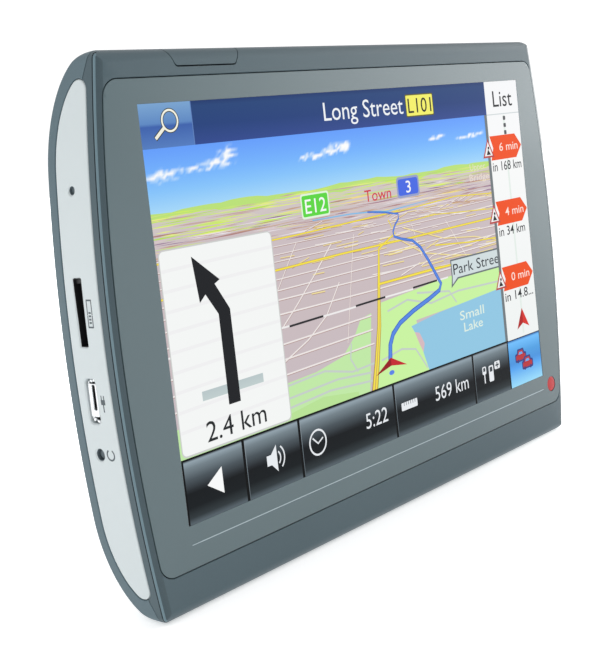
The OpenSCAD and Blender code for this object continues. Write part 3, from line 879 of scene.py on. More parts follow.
def painted_shading_tone(centre, normal):
    """The painted light and shade of a face of the front frame: red for a painted highlight on the narrow
    bevel, green for painted shade on the sloping band, blue for painted shade in the groove and on the walls
    round the touch panel.
    """
    slanting = abs(centre.x) > PANEL_END + 0.2 and normal.y < -0.1 and abs(normal.x) > 0.1
    if slanting and centre.y < GROOVE_FRONT - 0.05:
        return (0, 1, 0, 1) if centre.y < BAND_DEPTH else (1, 0, 0, 1)
    at_groove = GROOVE_FRONT - 0.02 < centre.y < GROOVE_BACK + 0.02 and abs(centre.x) > GROOVE_X - 0.05
    if at_groove and abs(centre.z) < TOP_Z - 0.6:
        return (0, 0, 1, 1)
    level = PANEL_LOW - 0.3 < centre.z < PANEL_TOP + 0.3
    if level and centre.y > 0.1 and abs(centre.x) < PANEL_END + 0.3:
        return (0, 0, 1, 1)
    return (0, 0, 0, 1)


def front_housing(material):
    """The dark front frame round the touch panel."""
    bm = combined(body_blank(), front_zone(-PARTING_GAP), "INTERSECT")
    middle = (0, (PANEL_TOP + PANEL_LOW) / 2)
    wide, high = 2 * PANEL_END, PANEL_TOP - PANEL_LOW
    levels = [(PANEL_T, PANEL_GAP), (0.14, PANEL_GAP), (-0.4, PANEL_GAP + 0.5)]
    pocket = flared(middle, wide, high, PANEL_R, levels, "d")
    window = soft_rect((0, (MODULE_TOP + MODULE_LOW) / 2), 2 * MODULE_END, MODULE_TOP - MODULE_LOW, 0.5)
    bm = cut(bm, pocket, prism(window, "d", -1, 5), inner_room(), cap_pocket(-1), cap_pocket(1))
    bm = cut(bm, key_window())
    # Each face gets its painted highlight or painted shade from its place and slope.
    trim = bm.loops.layers.float_color.new("trim")
    for face in bm.faces:
        face.normal_update()
        tone = painted_shading_tone(face.calc_center_median(), face.normal)
        for loop in face.loops:
            loop[trim] = tone
    made = piece(bowed(bm), "front_frame", material, replaces=["front_housing"])
    return even_normals(made)


def screw_wells():
    """Counterbores for the four housing screws, with the shank holes below them."""
    tools = []
    for place in SCREW_PLACES:
        tools.append(turned(place, [(SCREW_SEAT, 2.1), (BODY_D - 0.15, 2.1), (BODY_D + 0.5, 2.75)], "d"))
        tools.append(prism(circle(place, 1.15), "d", 11, BODY_D - 1))
    return tools


def holder_pockets():
    """The two slots for the holder's hooks."""
    levels = [(BODY_D - 1.2, 0), (BODY_D - 0.2, 0), (BODY_D + 0.4, 0.6)]
    return [flared(place, 14, 3.2, 0.8, levels, "d") for place in HOLDER_SLOTS]


def speaker_slots():
    """Seven slots whose ends follow a circle."""
    tools = []
    levels = [(11, 0), (BODY_D - 0.15, 0), (BODY_D + 0.4, 0.55)]
    for row in range(-3, 4):
        rise = 2.4 * row
        long = 2 * math.sqrt((SPEAKER_R - 1) ** 2 - rise ** 2)
        tools.append(flared((SPEAKER[0], SPEAKER[1] + rise), long, 1.1, 0.5, levels, "d"))
    return tools


def rear_shell(material):
    """The rear half: flat back, two long shoulders and the end walls behind the caps."""
    bm = cut(body_blank(), front_zone(PARTING_GAP), inner_room(), cap_pocket(-1), cap_pocket(1))
    bm = cut(bm, *socket_holes(0.1, 0.1), key_window())
    bm = cut(bm, *screw_wells(), *holder_pockets(), *speaker_slots())
    made = piece(bowed(bm), "rear_housing", material, replaces=["rear_shell"])
    return even_normals(made)


def cap_blank(side):
    """One cap with a soft rim, still straight."""
    bm = prism(cap_outline(), "x", side * (END_X - CAP_T + 0.02), side * END_X)
    return soften(bm, on_level(0, side * END_X), 0.35, 4)


def left_cap(material):
    """The pale cap with the sockets in it."""
    bm = cut(cap_blank(-1), *socket_holes(0.22))
    made = piece(bowed(bm), "left_cap", material, replaces=["left_side_cap"])
    return even_normals(made)


def right_cap(material):
    """The plain cap."""
    made = piece(bowed(cap_blank(1)), "right_cap", material, replaces=["right_side_cap"])
    return even_normals(made)


# ---- Front ----

def dot_place():
    """Centre and radius of the corner dot."""
    (left, _, low), (right, _, top) = cad_box("badge_dot")
    return ((left + right) / 2, (low + top) / 2), (right - left) / 2


def touch_panel(material):
    """The glossy front plate, with shallow beds for the picture, the bright inlay and the corner dot."""
    middle = (0, (PANEL_TOP + PANEL_LOW) / 2)
    wide, high = 2 * PANEL_END, PANEL_TOP - PANEL_LOW
    bm = prism(soft_rect(middle, wide, high, PANEL_R, 12), "d", 0, PANEL_T)
    soften(bm, on_level(1, 0), 0.12, 3)
    across, down = PICTURE_UNIT * PICTURE_WIDE, PICTURE_UNIT * PICTURE_HIGH
    bed = soft_rect((0, PICTURE_TOP - down / 2), across + 0.1, down + 0.1, 0.15, 3)
    (left, _, low), (right, _, top) = cad_box("accent_strip")
    groove = soft_rect((0, (low + top) / 2), right - left + 0.02, 0.18, 0.02, 2)
    dot, radius = dot_place()
    bm = cut(bm, prism(bed, "d", -1, PICTURE_RECESS), prism(groove, "d", -1, 0.2))
    bm = cut(bm, prism(circle(dot, radius + 0.06, 60), "d", -1, 0.3))
    made = piece(bowed(bm), "touch_plate", material, replaces=["touch_panel"])
    return even_normals(made)


def corner_dot(material):
    """A plain enamelled dot with a domed face."""
    centre, radius = dot_place()
    levels = [(0.3, radius), (0.14, radius), (0.09, radius - 0.05)]
    levels += [(0.06, radius - 0.2), (0.03, radius - 0.7), (0.01, 0.5)]
    bm = turned(centre, levels, "d", 60)
    return piece(bm, "corner_dot", material, replaces=["badge_dot"], crease=50)


def power_key(material):
    """The key that wraps from the front face over the top edge."""
    bm = combined(body_blank(), prism(key_outline(), "d", -1, KEY_REAR), "INTERSECT")
    bm = cut(bm, prism(body_section(KEY_SKIN), "x", -60, -30))
    made = piece(bm, "power_key_cover", material, "power_button")
    bevel = made.modifiers.new("soft_edges", "BEVEL")
    bevel.width = 0.14 * MM
    bevel.segments = 2
    bevel.limit_method = "ANGLE"
    bevel.angle_limit = math.radians(40)
    bevel.use_clamp_overlap = True
    return even_normals(made)


def key_stem(material):
    """Three short ribs, the retaining bar, and the stem that reaches down to the switch plunger."""
    parts = []
    for x in (KEY_X - 4, KEY_X, KEY_X + 4):
        parts.append(prism(soft_rect((x, 50.3), 1, 2, 0.1, 2), "d", 3, 4.8))
    parts.append(prism(soft_rect((KEY_X, 49.8), KEY_TOP_W + 2, 0.8, 0.15, 3), "d", 3, 4.8))
    parts.append(prism(soft_rect((KEY_X, 48.1), 1.2, 4.2, 0.15, 3), "d", 3, 7.4))
    parts.append(prism(soft_rect((KEY_X, 44.8), 4, 6.4, 0.3, 3), "d", 6.2, 7.5))
    parts.append(prism(soft_rect((KEY_X, 41.3), 4, 1.4, 0.2, 3), "d", 6.2, 9.5))
    return piece(joined(*parts), "power_key_stem", material, "power_button", ["power_key"])


# ---- Sockets in the left end ----

def charging_shell(material):
    """The metal shell of the charging socket, with its flared mouth."""
    (mouth, front, low), (back, rear, top) = cad_box("usb_shell")
    outer = [(back, 0), (mouth + 0.12, 0), (mouth, -0.1)]
    bm = flared(CHARGE_PORT, rear - front, top - low, 0.6, outer, "x")
    inner = [(back - 0.25, -0.25), (mouth + 0.2, -0.25), (mouth - 0.2, 0.15)]
    bm = bowed(cut(bm, flared(CHARGE_PORT, rear - front, top - low, 0.62, inner, "x")), rows=False)
    made = piece(bm, "charging_socket_shell", material, replaces=["usb_shell"])
    return even_normals(made)


def charging_face(material):
    """The bright front of the charging socket: a plate with one narrow slit and four curled tabs."""
    mouth = cad_box("usb_shell")[0][0]
    plate = prism(soft_rect((8.3, -9.75), 2.3, 6.2, 0.3), "x", mouth + 0.5, mouth - 0.05)
    soften(plate, on_level(0, mouth - 0.05), 0.12, 2)
    levels = [(mouth + 1, 0), (mouth + 0.1, 0), (mouth - 0.3, 0.25)]
    slit = flared((8.05, -9.25), 0.85, 4.6, 0.2, levels, "x", 3)
    tabs = []
    for z, d, turn in ((-6.15, 8.55, 20), (-6.0, 7.75, -30), (-13.35, 8.75, -35), (-13.65, 7.7, 10)):
        curl = prism(arc((0, 0), 0.42, 0.3, 0, 345, 23), "x", mouth + 0.5, mouth + 0.05)
        soften(curl, on_level(0, mouth + 0.05), 0.12, 2)
        about_x = Matrix.Rotation(math.radians(turn), 3, "X")
        bmesh.ops.rotate(curl, verts=curl.verts, cent=(0, 0, 0), matrix=about_x)
        bmesh.ops.translate(curl, verts=curl.verts, vec=(0, d, z))
        tabs.append(curl)
    made = piece(joined(cut(plate, slit), *tabs), "charging_socket_face", material)
    return even_normals(made)


def sleeve(outline, grown, x_from, x_to):
    """A thin tube between two outlines."""
    return cut(prism(grown, "x", x_from, x_to), prism(outline, "x", x_from - 1, x_to + 1))


def card_slot_liner(material):
    """The dark liner inside the card slot, with the stop at the top of the slot."""
    wide, long = CARD_SLOT_SIZE
    depth, middle = CARD_SLOT
    start = -END_X + 0.25
    inner = soft_rect(CARD_SLOT, wide - 0.1, long - 0.1, 0.2, 4)
    outer = soft_rect(CARD_SLOT, wide + 0.1, long + 0.1, 0.3, 4)
    bar = soft_rect((depth, middle + long / 2 - 0.55), wide - 0.12, 0.8, 0.15, 3)
    stop = prism(bar, "x", start + 1.6, start + 0.45)
    soften(stop, on_level(0, start + 0.45), 0.08, 2)
    bm = joined(sleeve(inner, outer, start, start + 2.6), stop)
    return even_normals(piece(bm, "card_slot_liner", material))


def hole_liners(material):
    """Grey sleeves in the microphone hole and the reset hole; the first one has a floor."""
    parts = []
    for place, radius in ((MIC_HOLE, MIC_R), (RESET_HOLE, RESET_R)):
        top = end_half_width(place[1]) - 0.25
        parts.append(sleeve(circle(place, radius - 0.08), circle(place, radius + 0.06), -top, -top + 1.6))
    top = end_half_width(MIC_HOLE[1])
    parts.append(prism(circle(MIC_HOLE, MIC_R - 0.05), "x", 0.9 - top, 0.7 - top))
    return even_normals(piece(joined(*parts), "hole_liners", material))


def accent_inlay(material):
    """The fine bright inlay below the picture, narrower at both ends."""
    (left, _, low), (right, _, top) = cad_box("accent_strip")
    middle = (low + top) / 2
    half = 0.08
    tip = 0.75 * half
    lower = [(left, -tip), (left + 3, -half), (right - 3, -half), (right, -tip)]
    upper = [(x, -z) for x, z in reversed(lower)]
    bm = prism([(x, middle + z) for x, z in lower + upper], "d", 0.01, 0.19)
    return piece(bm, "accent_inlay", material, replaces=["accent_strip"])


def reset_pin(material):
    """The sunken reset button with a slightly domed face."""
    (face, _, _), (end, _, _) = cad_box("reset_button")
    levels = [(face, 0.4), (face + 0.04, 0.75), (face + 0.14, 0.92), (face + 0.3, 0.97), (end - 0.5, 0.97)]
    levels += [(end - 0.5, 1.3), (end - 0.42, 1.5), (end, 1.5)]
    bm = turned(RESET_HOLE, levels, "x")
    return piece(bm, "reset_pin_cover", material, "reset_pin", ["reset_button"])


def end_marks(material):
    """Plain printed marks beside the sockets: a broken ring, a plug outline and a blank card outline."""
    level = -END_X - 0.01
    shapes = []

    def bar(points):
        bm = bmesh.new()
        bm.faces.new([bm.verts.new((level, d, z)) for d, z in points])
        shapes.append(bm)

    def block(d, z, wide, high):
        low, top = z - high / 2, z + high / 2
        bar([(d - wide / 2, low), (d + wide / 2, low), (d + wide / 2, top), (d - wide / 2, top)])

    def band(centre, radius, thick, start, end, steps=20):
        outer = arc(centre, radius, radius, start, end, steps)
        inner = arc(centre, radius - thick, radius - thick, start, end, steps)
        for i in range(steps):
            bar([outer[i], outer[i + 1], inner[i + 1], inner[i]])

    ring = (5.54, -19.8)
    band(ring, 1.15, 0.34, 118, 422)
    plug = (5.27, -9.9)
    block(plug[0], plug[1], 1.15, 0.95)
    block(plug[0], plug[1] - 1.15, 0.3, 1.4)
    for side in (-0.34, 0.34):
        block(plug[0] + side, plug[1] + 0.85, 0.26, 0.8)
    card = (5.7, 6.3)
    for side in (-0.625, 0.625):
        block(card[0] + side, card[1], 0.25, 5.2)
    for end in (-2.45, 2.45):
        block(card[0], card[1] + end, 1.5, 0.3)
    for row in range(4):
        block(card[0], card[1] - 1.63 + 0.6 * row, 0.65, 0.34)
    bm = joined(*shapes)
    for face in bm.faces:
        face.normal_update()
        if face.normal.x > 0:
            face.normal_flip()
    return piece(bowed(bm, rows=False), "printed_marks", material)


def rear_screws(material):
    """Four pan-head screws with cross recesses."""
    parts = []
    seat = SCREW_SEAT
    shank = [(8.3, 0.7), (8.7, 0.95), (seat, 0.95)]
    head = [(seat, 1.9), (seat + 0.45, 1.9), (seat + 0.8, 1.7), (seat + 1.05, 1.2)]
    recess = [(seat + 0.35, 0), (seat + 1.3, 0.12)]
    for place in SCREW_PLACES:
        slots = [flared(place, *size, 0.1, recess, "d", 3) for size in ((0.42, 2.2), (2.2, 0.42))]
        parts.append(cut(turned(place, shank + head, "d"), *slots))
    made = piece(joined(*parts), "rear_screws", material, replaces=["housing_screws"])
    return even_normals(made)


# ---- The picture on the display ----

WHITE = (248, 249, 249)
CAPITAL_SHARE = 0.7
LAYER_T = 0.005


class Drawing:
    """Flat coloured shapes in thin layers, on a picture that is 100 units wide and 60 high."""

    def __init__(self, name, layer):
        self.name = name
        self.layer = layer
        self.bm = bmesh.new()
        self.paint = self.bm.loops.layers.float_color.new("paint")

    def spot(self, u, v):
        """A place on this layer, counted to the right and down from the picture's upper left corner."""
        depth = PICTURE_RECESS - LAYER_T * (self.layer + 1)
        return (PICTURE_LEFT + PICTURE_UNIT * u, depth, PICTURE_TOP - PICTURE_UNIT * v)

    def coat(self, face, colours):
        """Paints a face, with one colour or with one for each corner, and turns it to the front."""
        if not isinstance(colours, list):
            colours = [colours] * len(face.loops)
        for loop, colour in zip(face.loops, colours):
            loop[self.paint] = tint(*colour)
        face.normal_update()
        if face.normal.y > 0:
            face.normal_flip()

    def shape(self, points, colours):
        """A flat shape with one colour, or with one for each corner."""
        self.coat(self.bm.faces.new([self.bm.verts.new(self.spot(u, v)) for u, v in points]), colours)

    def box(self, left, top, right, low, colours):
        """A rectangle; colours from top to bottom are (share of the height, colour)."""
        if not isinstance(colours, list):
            colours = [(0, colours), (1, colours)]
        for (start, upper), (end, lower) in zip(colours, colours[1:]):
            v0, v1 = top + (low - top) * start, top + (low - top) * end
            self.shape([(left, v0), (right, v0), (right, v1), (left, v1)], [upper, upper, lower, lower])

    def line(self, points, widths, colour):
        """A line through points, of one width or with a width at each point."""
        if not isinstance(widths, (list, tuple)):
            widths = [widths] * len(points)
        sides = []
        for i, point in enumerate(points):
            before = Vector(points[max(0, i - 1)])
            after = Vector(points[min(len(points) - 1, i + 1)])
            run = (after - before).normalized()
            off = Vector((-run.y, run.x)) * widths[i] / 2
            sides.append((Vector(point) - off, Vector(point) + off))
        for (a, b), (c, d) in zip(sides, sides[1:]):
            self.shape([a, c, d, b], colour)

    def disc(self, centre, across, up, colour, steps=24):
        """A round spot."""
        ring = arc(centre, across, up, 0, 360, steps)
        for near, away in zip(ring, ring[1:]):
            self.shape([centre, near, away], colour)

    def ring(self, centre, radius, thick, start, end, colour, steps=20):
        """A round line, or a part of one."""
        self.line(arc(centre, radius, radius, start, end, steps), thick, colour)

    def plate(self, left, top, right, low, radius, colour):
        """A rectangle with round corners."""
        middle = ((left + right) / 2, (top + low) / 2)
        self.shape(soft_rect(middle, right - left, low - top, radius, 5), colour)

    def words(self, text, left, right, base, height, colour, weight=0.006):
        """Plain lettering in the editor's built-in face, set between two margins."""
        curve = bpy.data.curves.new("lettering", "FONT")
        curve.body = text
        curve.size = height / CAPITAL_SHARE
        curve.offset = weight
        curve.resolution_u = 3
        source = bpy.data.objects.new("lettering", curve)
        bpy.context.scene.collection.objects.link(source)
        mesh = bpy.data.meshes.new_from_object(source.evaluated_get(bpy.context.evaluated_depsgraph_get()))
        bpy.data.objects.remove(source)
        bpy.data.curves.remove(curve)
        known = len(self.bm.faces)
        letters = bmesh.new()
        letters.from_mesh(mesh)
        start = min(vert.co.x for vert in letters.verts)
        squeeze = (right - left) / (max(vert.co.x for vert in letters.verts) - start)
        for vert in letters.verts:
            vert.co = Vector(self.spot(left + (vert.co.x - start) * squeeze, base - vert.co.y))
        letters.to_mesh(mesh)
        letters.free()
        self.bm.from_mesh(mesh)
        bpy.data.meshes.remove(mesh)
        self.bm.faces.ensure_lookup_table()
        for face in self.bm.faces[known:]:
            self.coat(face, colour)

    def finish(self, material):
        """Trims the drawing to the picture's edges and makes it a piece."""
        left, top = PICTURE_LEFT, PICTURE_TOP
        right, low = left + PICTURE_UNIT * PICTURE_WIDE, top - PICTURE_UNIT * PICTURE_HIGH
        for place, outwards in (
            ((left, 0, 0), (-1, 0, 0)), ((right, 0, 0), (1, 0, 0)),
            ((0, 0, top), (0, 0, 1)), ((0, 0, low), (0, 0, -1)),
        ):
            geometry = self.bm.verts[:] + self.bm.edges[:] + self.bm.faces[:]
            bmesh.ops.bisect_plane(
                self.bm, geom=geometry, plane_co=place, plane_no=outwards, clear_outer=True, dist=1e-5,
            )
        bmesh.ops.triangulate(self.bm, faces=self.bm.faces)
        return piece(self.bm, self.name, material)


# The sky's colours by height, and each cloud's middle, half width and half height.
SKY = [
    (0, (88, 142, 242)), (6.6, (101, 158, 250)), (10, (116, 178, 251)), (12.4, (134, 195, 250)),
    (15.2, (164, 214, 248)), (20, (190, 226, 246)),
]
CLOUDS = [
    (3.2, 10.2, 4.2, 0.75), (12.8, 9.5, 4.6, 0.7), (16.2, 8.0, 2.0, 1.1), (37, 9.9, 5.0, 0.5),
    (43, 9.0, 3.2, 0.9), (70.5, 9.4, 2.8, 0.45), (79.5, 10.0, 2.6, 0.35), (84, 9.7, 2.2, 0.5),
]
CLOUD_WHITE = 251


def sky_colour(u, v):
    """The blue of the sky with a few ragged clouds in it."""
    for (high, upper), (low, lower) in zip(SKY, SKY[1:]):
        if v <= low:
            share = (v - high) / (low - high)
            break
    base = [a + (b - a) * share for a, b in zip(upper, lower)]
    mist = 0
    for x, y, wide, tall in CLOUDS:
        mist += math.exp(-((u - x) / wide) ** 2 - ((v - y + 0.06 * (u - x)) / tall) ** 2)
    ragged = noise.fractal(Vector((u * 0.55, v * 1.5, 0)), 0.8, 2.0, 4)
    amount = min(1.0, max(0.0, 1.45 * mist + 1.5 * ragged * min(1.0, 2 * mist) - 0.5))
    return tuple(a + (CLOUD_WHITE - a) * amount for a in base)


def picture_sky(material):
    """The sky as a fine grid whose corners carry the colours."""
    art = Drawing("picture_sky", 0)
    columns, rows = 200, 50
    corners = [[(0.5 * i, 0.4 * k) for i in range(columns + 1)] for k in range(rows + 1)]
    colours = [[sky_colour(u, v) for u, v in line] for line in corners]
    for k in range(rows):
        for i in range(columns):
            around = ((k, i), (k, i + 1), (k + 1, i + 1), (k + 1, i))
            art.shape([corners[a][b] for a, b in around], [colours[a][b] for a, b in around])
    return art.finish(material)


def wave(u, heights):
    """A gentle line made of a few sines."""
    return sum(size * math.sin(u * pace + start) for size, pace, start in heights)


def picture_land(material):
    """The far ridge and the plain in front of it."""
    art = Drawing("picture_land", 2)
    ridge = [(u, 15.1 + wave(u, [(0.2, 0.21, 1), (0.1, 0.57, 0), (0.05, 1.9, 0)])) for u in range(0, 101, 2)]
    art.shape(ridge + [(100, 22), (0, 22)], (186, 224, 120))
    art.layer += 1
    plain = [(u, 16.1 + wave(u, [(0.25, 0.3, 2), (0.15, 0.9, 1)])) for u in range(0, 101, 2)]
    far, near = (208, 198, 196), (203, 189, 193)
    for (u0, v0), (u1, v1) in zip(plain, plain[1:]):
        art.shape([(u0, v0), (u1, v1), (u1, 21), (u0, 21)], [far, far, near, near])
    art.box(0, 21, 100, 60, [(0, near), (0.35, (201, 187, 190)), (1, (198, 186, 194))])
    return art.finish(material)


def picture_strips(material):
    """Woods, fields and streets crowded together below the horizon."""
    art = Drawing("picture_strips", 4)
    draw = random.Random(11)
    near_colours = [
        (216, 198, 200), (176, 130, 128), (150, 118, 150), (240, 220, 130), (230, 222, 228), (196, 160, 132),
        (210, 196, 196),
    ]
    far_colours = [
        (206, 236, 96), (184, 222, 96), (214, 226, 130), (228, 238, 130), (196, 166, 160), (196, 228, 120),
    ]
    for _ in range(460):
        share = draw.random()
        v = 15.5 + 7.0 * share
        left = draw.uniform(-6, 96)
        greener = 0.9 if left < 34 else 0.5
        colours = far_colours if share < draw.uniform(0.2, greener) else near_colours
        long = draw.uniform(3, 14)
        thick = draw.uniform(0.08, 0.26)
        tilt = draw.uniform(-0.25, 0.15)
        points = [(left, v), (left + long / 2, v + tilt / 2), (left + long, v + tilt)]
        art.line(points, [0.02, thick, 0.02], draw.choice(colours))
        art.layer += 0.004
    return art.finish(material)


def picture_fields(material):
    """A meadow on the left, and a park with a lake on the right."""
    art = Drawing("picture_fields", 5)
    meadow = [
        (0, 46), (12, 45), (23, 44.6), (31, 44.3), (38, 43.2), (41.5, 40.5), (43.5, 38), (46.5, 37.5),
        (44, 51), (0, 51),
    ]
    park = [
        (49.5, 36.2), (60, 35.6), (68, 35), (88.5, 34.6), (88.5, 40), (66, 40.8), (59, 41), (62, 51),
        (45, 51),
    ]
    lake = [
        (57.4, 41.8), (66, 40.9), (74, 40.5), (88.5, 39.8), (88.5, 51), (61.6, 51), (59.8, 46), (58.2, 43),
    ]
    shore = [(58.2, 43.0), (59.6, 43.4), (60.8, 45.5), (60.2, 47.0), (59.3, 45.4)]
    lawn = [(24, 49.4), (32, 48.6), (41, 49.8), (41, 51), (24, 51)]
    art.shape(meadow, (192, 232, 166))
    art.shape(park, (200, 242, 160))
    art.layer += 1
    art.shape(lake, (144, 198, 226))
    art.layer += 1
    art.shape(shore, (214, 184, 190))
    art.shape(lawn, (184, 226, 150))
    return art.finish(material)


def picture_roads(material):
    """Side streets as thin pale lines with a darker edge beneath, and the grey paths of the park."""
    art = Drawing("picture_roads", 8)
    draw = random.Random(3)
    edge, white, cream = (172, 138, 132), (236, 230, 228), (240, 224, 150)
    tracks = []
    for v in (23.1, 24.2, 25.4, 28, 29.7, 31.5, 33.8):
        width = 0.1 + (v - 22) * 0.012
        sag = draw.uniform(-0.3, 0.3)
        points = [(-1, v + 0.5), (24, v + 0.2 + sag), (49, v), (70, v - 0.3), (89, v - 0.5 + sag)]
        tracks.append((points, width, white))
    for v in (38.2, 40.6, 43):
        tracks.append(([(-1, v + 0.6), (24, v + 0.2), (46.5, v - 0.3)], 0.26, white))
    for top in (29.5, 44, 60.5, 71):
        low = 50 + (top - 50) * draw.uniform(1.7, 2.1)
        start = draw.uniform(22.6, 25)
        stop = draw.uniform(29, 36) if top > 50 else draw.uniform(33, 43)
        share = (stop - start) / 26
        tracks.append(([(top, start), (top + (low - top) * share, stop)], 0.16, white))
    for _ in range(110):
        u, v = draw.uniform(24, 88), 21.5 + 11.5 * draw.random() ** 1.6
        long = draw.uniform(1.5, 7) * (v - 14) / 12
        rise = draw.choice((-0.02, 0.03, 0.05, -0.03, 0.02, -0.4)) * long
        points = [(u, v), (u + long, v + rise * 0.6)]
        tracks.append((points, 0.1 + (v - 20) * 0.008, draw.choice((white, cream))))
    tracks += [
        ([(24, 36), (28, 33), (33.5, 28.5), (38, 24.5)], 0.24, white),
        ([(23, 41.5), (30, 38.8), (35, 35.8), (39, 31)], 0.24, white),
        ([(56, 26), (63, 29.5), (72, 31.2), (89, 33.4)], 0.2, cream),
        ([(58, 24.4), (70, 27.8), (80, 28.8), (89, 30.6)], 0.2, cream),
        ([(66, 22.5), (76, 24), (89, 23.6)], 0.18, white),
        ([(62, 31.8), (66, 30.4), (80, 30), (89, 29)], 0.18, white),
    ]
    for points, width, colour in tracks:
        art.line([(u, v + 0.05) for u, v in points], width + 0.1, edge)
    art.layer += 1
    for points, width, colour in tracks:
        art.line(points, width, colour)
    art.layer += 1
    for path in (
        [(24, 45), (33, 44.6), (40, 46.2), (46, 46)],
        [(40.4, 41.5), (39.8, 44), (41.4, 46.5)],
        [(51, 38), (57, 37), (64, 38.8), (73, 38), (89, 38.5)],
        [(60, 36.3), (70, 37.6), (72, 40)],
        [(48, 46), (54, 45.2), (58, 46), (61, 50)],
        [(24, 48.5), (34, 48), (45, 48.8)],
        [(24, 47), (36, 46.6), (45, 47.4)],
    ):
        art.line(path, 0.36, (196, 206, 200))
        art.layer += 0.05
    return art.finish(material)


def picture_main_roads(material):
    """Yellow main roads with a brown edge; the avenue widens towards the viewer and has a middle line."""
    art = Drawing("picture_main_roads", 11.5)
    avenue = [(53.8, 22.5), (55.4, 25), (50.4, 27), (49.3, 33.5), (48.3, 40), (46.7, 46), (45.2, 51)]
    tracks = [
        ([(-1, 22.3), (30, 22), (57, 21.3)], 0.3),
        ([(57, 21.4), (75, 20.6), (89, 21.4)], 0.24),
        ([(24, 26.8), (40, 26.5), (60, 26.4), (72, 26.2), (89, 26)], 0.4),
        ([(67, 28.7), (78, 29.6), (89, 30)], 0.3),
        ([(49.2, 33), (67, 32.9), (89, 33.1)], 0.5),
        ([(-1, 27.4), (24, 26.8)], 0.36),
        ([(55, 23.6), (68, 23.2), (89, 24.4)], 0.2),
    ]
    tracks = [(points, [width] * len(points)) for points, width in tracks]
    tracks.append((avenue, [0.26, 0.34, 0.5, 0.8, 1.1, 1.4, 1.7]))
    for share, colour in ((1, (170, 140, 78)), (0.7, (246, 226, 72))):
        for points, widths in tracks:
            art.line(points, [width * share for width in widths], colour)
        art.layer += 1
    art.line(avenue[3:], [0.1, 0.18, 0.26, 0.34], (206, 176, 96))
    return art.finish(material)


def picture_route(material):
    """River, railway and the blue route that ends at the arrow."""
    art = Drawing("picture_route", 14.5)
    river = [(34, 20.2), (44, 20.3), (50, 20.6), (54, 21), (58, 20.8), (66, 20.4)]
    art.line(river, [0.2, 0.22, 0.26, 0.26, 0.2, 0.1], (128, 186, 230))
    pale_dashes = [(-1, 10, 35.7), (17, 25.8, 35.9), (34.1, 42.6, 35.8), (50.8, 59, 35.5), (66.3, 70, 35.1)]
    for left, right, v in pale_dashes:
        art.line([(left, v), (right, v - 0.08)], 0.3, (238, 236, 236))
    for left, right, v in ((25.8, 34.1, 35.9), (42.6, 50.8, 35.6), (59, 66.5, 35.2)):
        art.line([(left, v), (right, v - 0.15)], 0.34, (44, 44, 48))
    route = [
        (48.3, 20.5), (53, 21.1), (56.9, 21.8), (56.8, 22.6), (55.6, 23.6), (54.9, 24.6), (55.0, 25.5),
        (57.0, 26.2), (60.2, 26.9), (62.4, 28.4), (64.4, 31), (66.4, 34), (67.6, 35.8), (66.9, 36.9),
        (63.6, 37.9), (58.4, 39.2), (54.2, 40.6), (51.9, 42.1), (50.8, 43.8), (50.3, 46.8),
    ]
    widths = [
        0.2, 0.22, 0.24, 0.26, 0.28, 0.32, 0.36, 0.4, 0.44, 0.52, 0.6, 0.68, 0.74, 0.78, 0.82, 0.86, 0.92,
        1.0, 1.08, 1.16,
    ]
    art.layer += 1
    art.line(route, [width * 0.9 + 0.12 for width in widths], (54, 92, 188))
    art.layer += 1
    art.line(route, [width * 0.66 for width in widths], (86, 136, 228))
    return art.finish(material)


def picture_signs(material):
    """Road shields, place names and the street label, all plain inventions."""
    art = Drawing("picture_signs", 17.5)
    label_edge = [(71.2, 32.0), (88.5, 32.0), (88.5, 35.8), (73.3, 35.8), (70.8, 37.2), (71.2, 35.3)]
    label = [(71.5, 32.3), (88.5, 32.3), (88.5, 35.5), (73.1, 35.5), (71.3, 36.6), (71.5, 35.1)]
    art.plate(31.6, 15.8, 38.6, 19.8, 0.5, (226, 244, 220))
    art.plate(57.2, 15.5, 63.9, 19.2, 0.7, (150, 160, 200))
    art.shape(label_edge, (104, 112, 118))
    art.shape([(46, 48.3), (50.5, 46), (55, 48.1), (50.5, 47.4)], (196, 34, 46))
    art.layer += 1
    art.plate(31.9, 16.1, 38.3, 19.5, 0.35, (92, 214, 66))
    art.plate(57.6, 15.9, 63.5, 18.8, 0.5, (70, 104, 226))
    art.shape(label, (208, 220, 222))
    art.shape([(46, 48.3), (50.5, 46), (50.5, 47.4)], (150, 20, 34))
    art.disc((50.4, 48.6), 0.75, 0.4, (90, 130, 230))
    return art.finish(material)


def picture_sign_text(material):
    """Lettering on the map."""
    art = Drawing("picture_sign_text", 19.5)
    art.words("E12", 32.6, 37.7, 19.0, 2.3, WHITE, 0.01)
    art.words("3", 59.9, 61.3, 18.4, 2.1, WHITE, 0.01)
    art.words("Town", 48, 55.4, 18.8, 2.0, (208, 52, 74))
    art.words("Park Street", 71.9, 89, 34.9, 2.0, (52, 56, 64), 0.004)
    art.words("Small", 72.6, 80.8, 43.6, 1.7, (222, 238, 226), 0.014)
    art.words("Lake", 73.6, 80, 45.9, 1.7, (222, 238, 226), 0.014)
    art.words("Upper", 80.6, 86, 16.4, 1.2, (226, 222, 196), 0.008)
    art.words("Bridge", 80.2, 87, 18.4, 1.3, (232, 218, 206), 0.008)
    return art.finish(material)


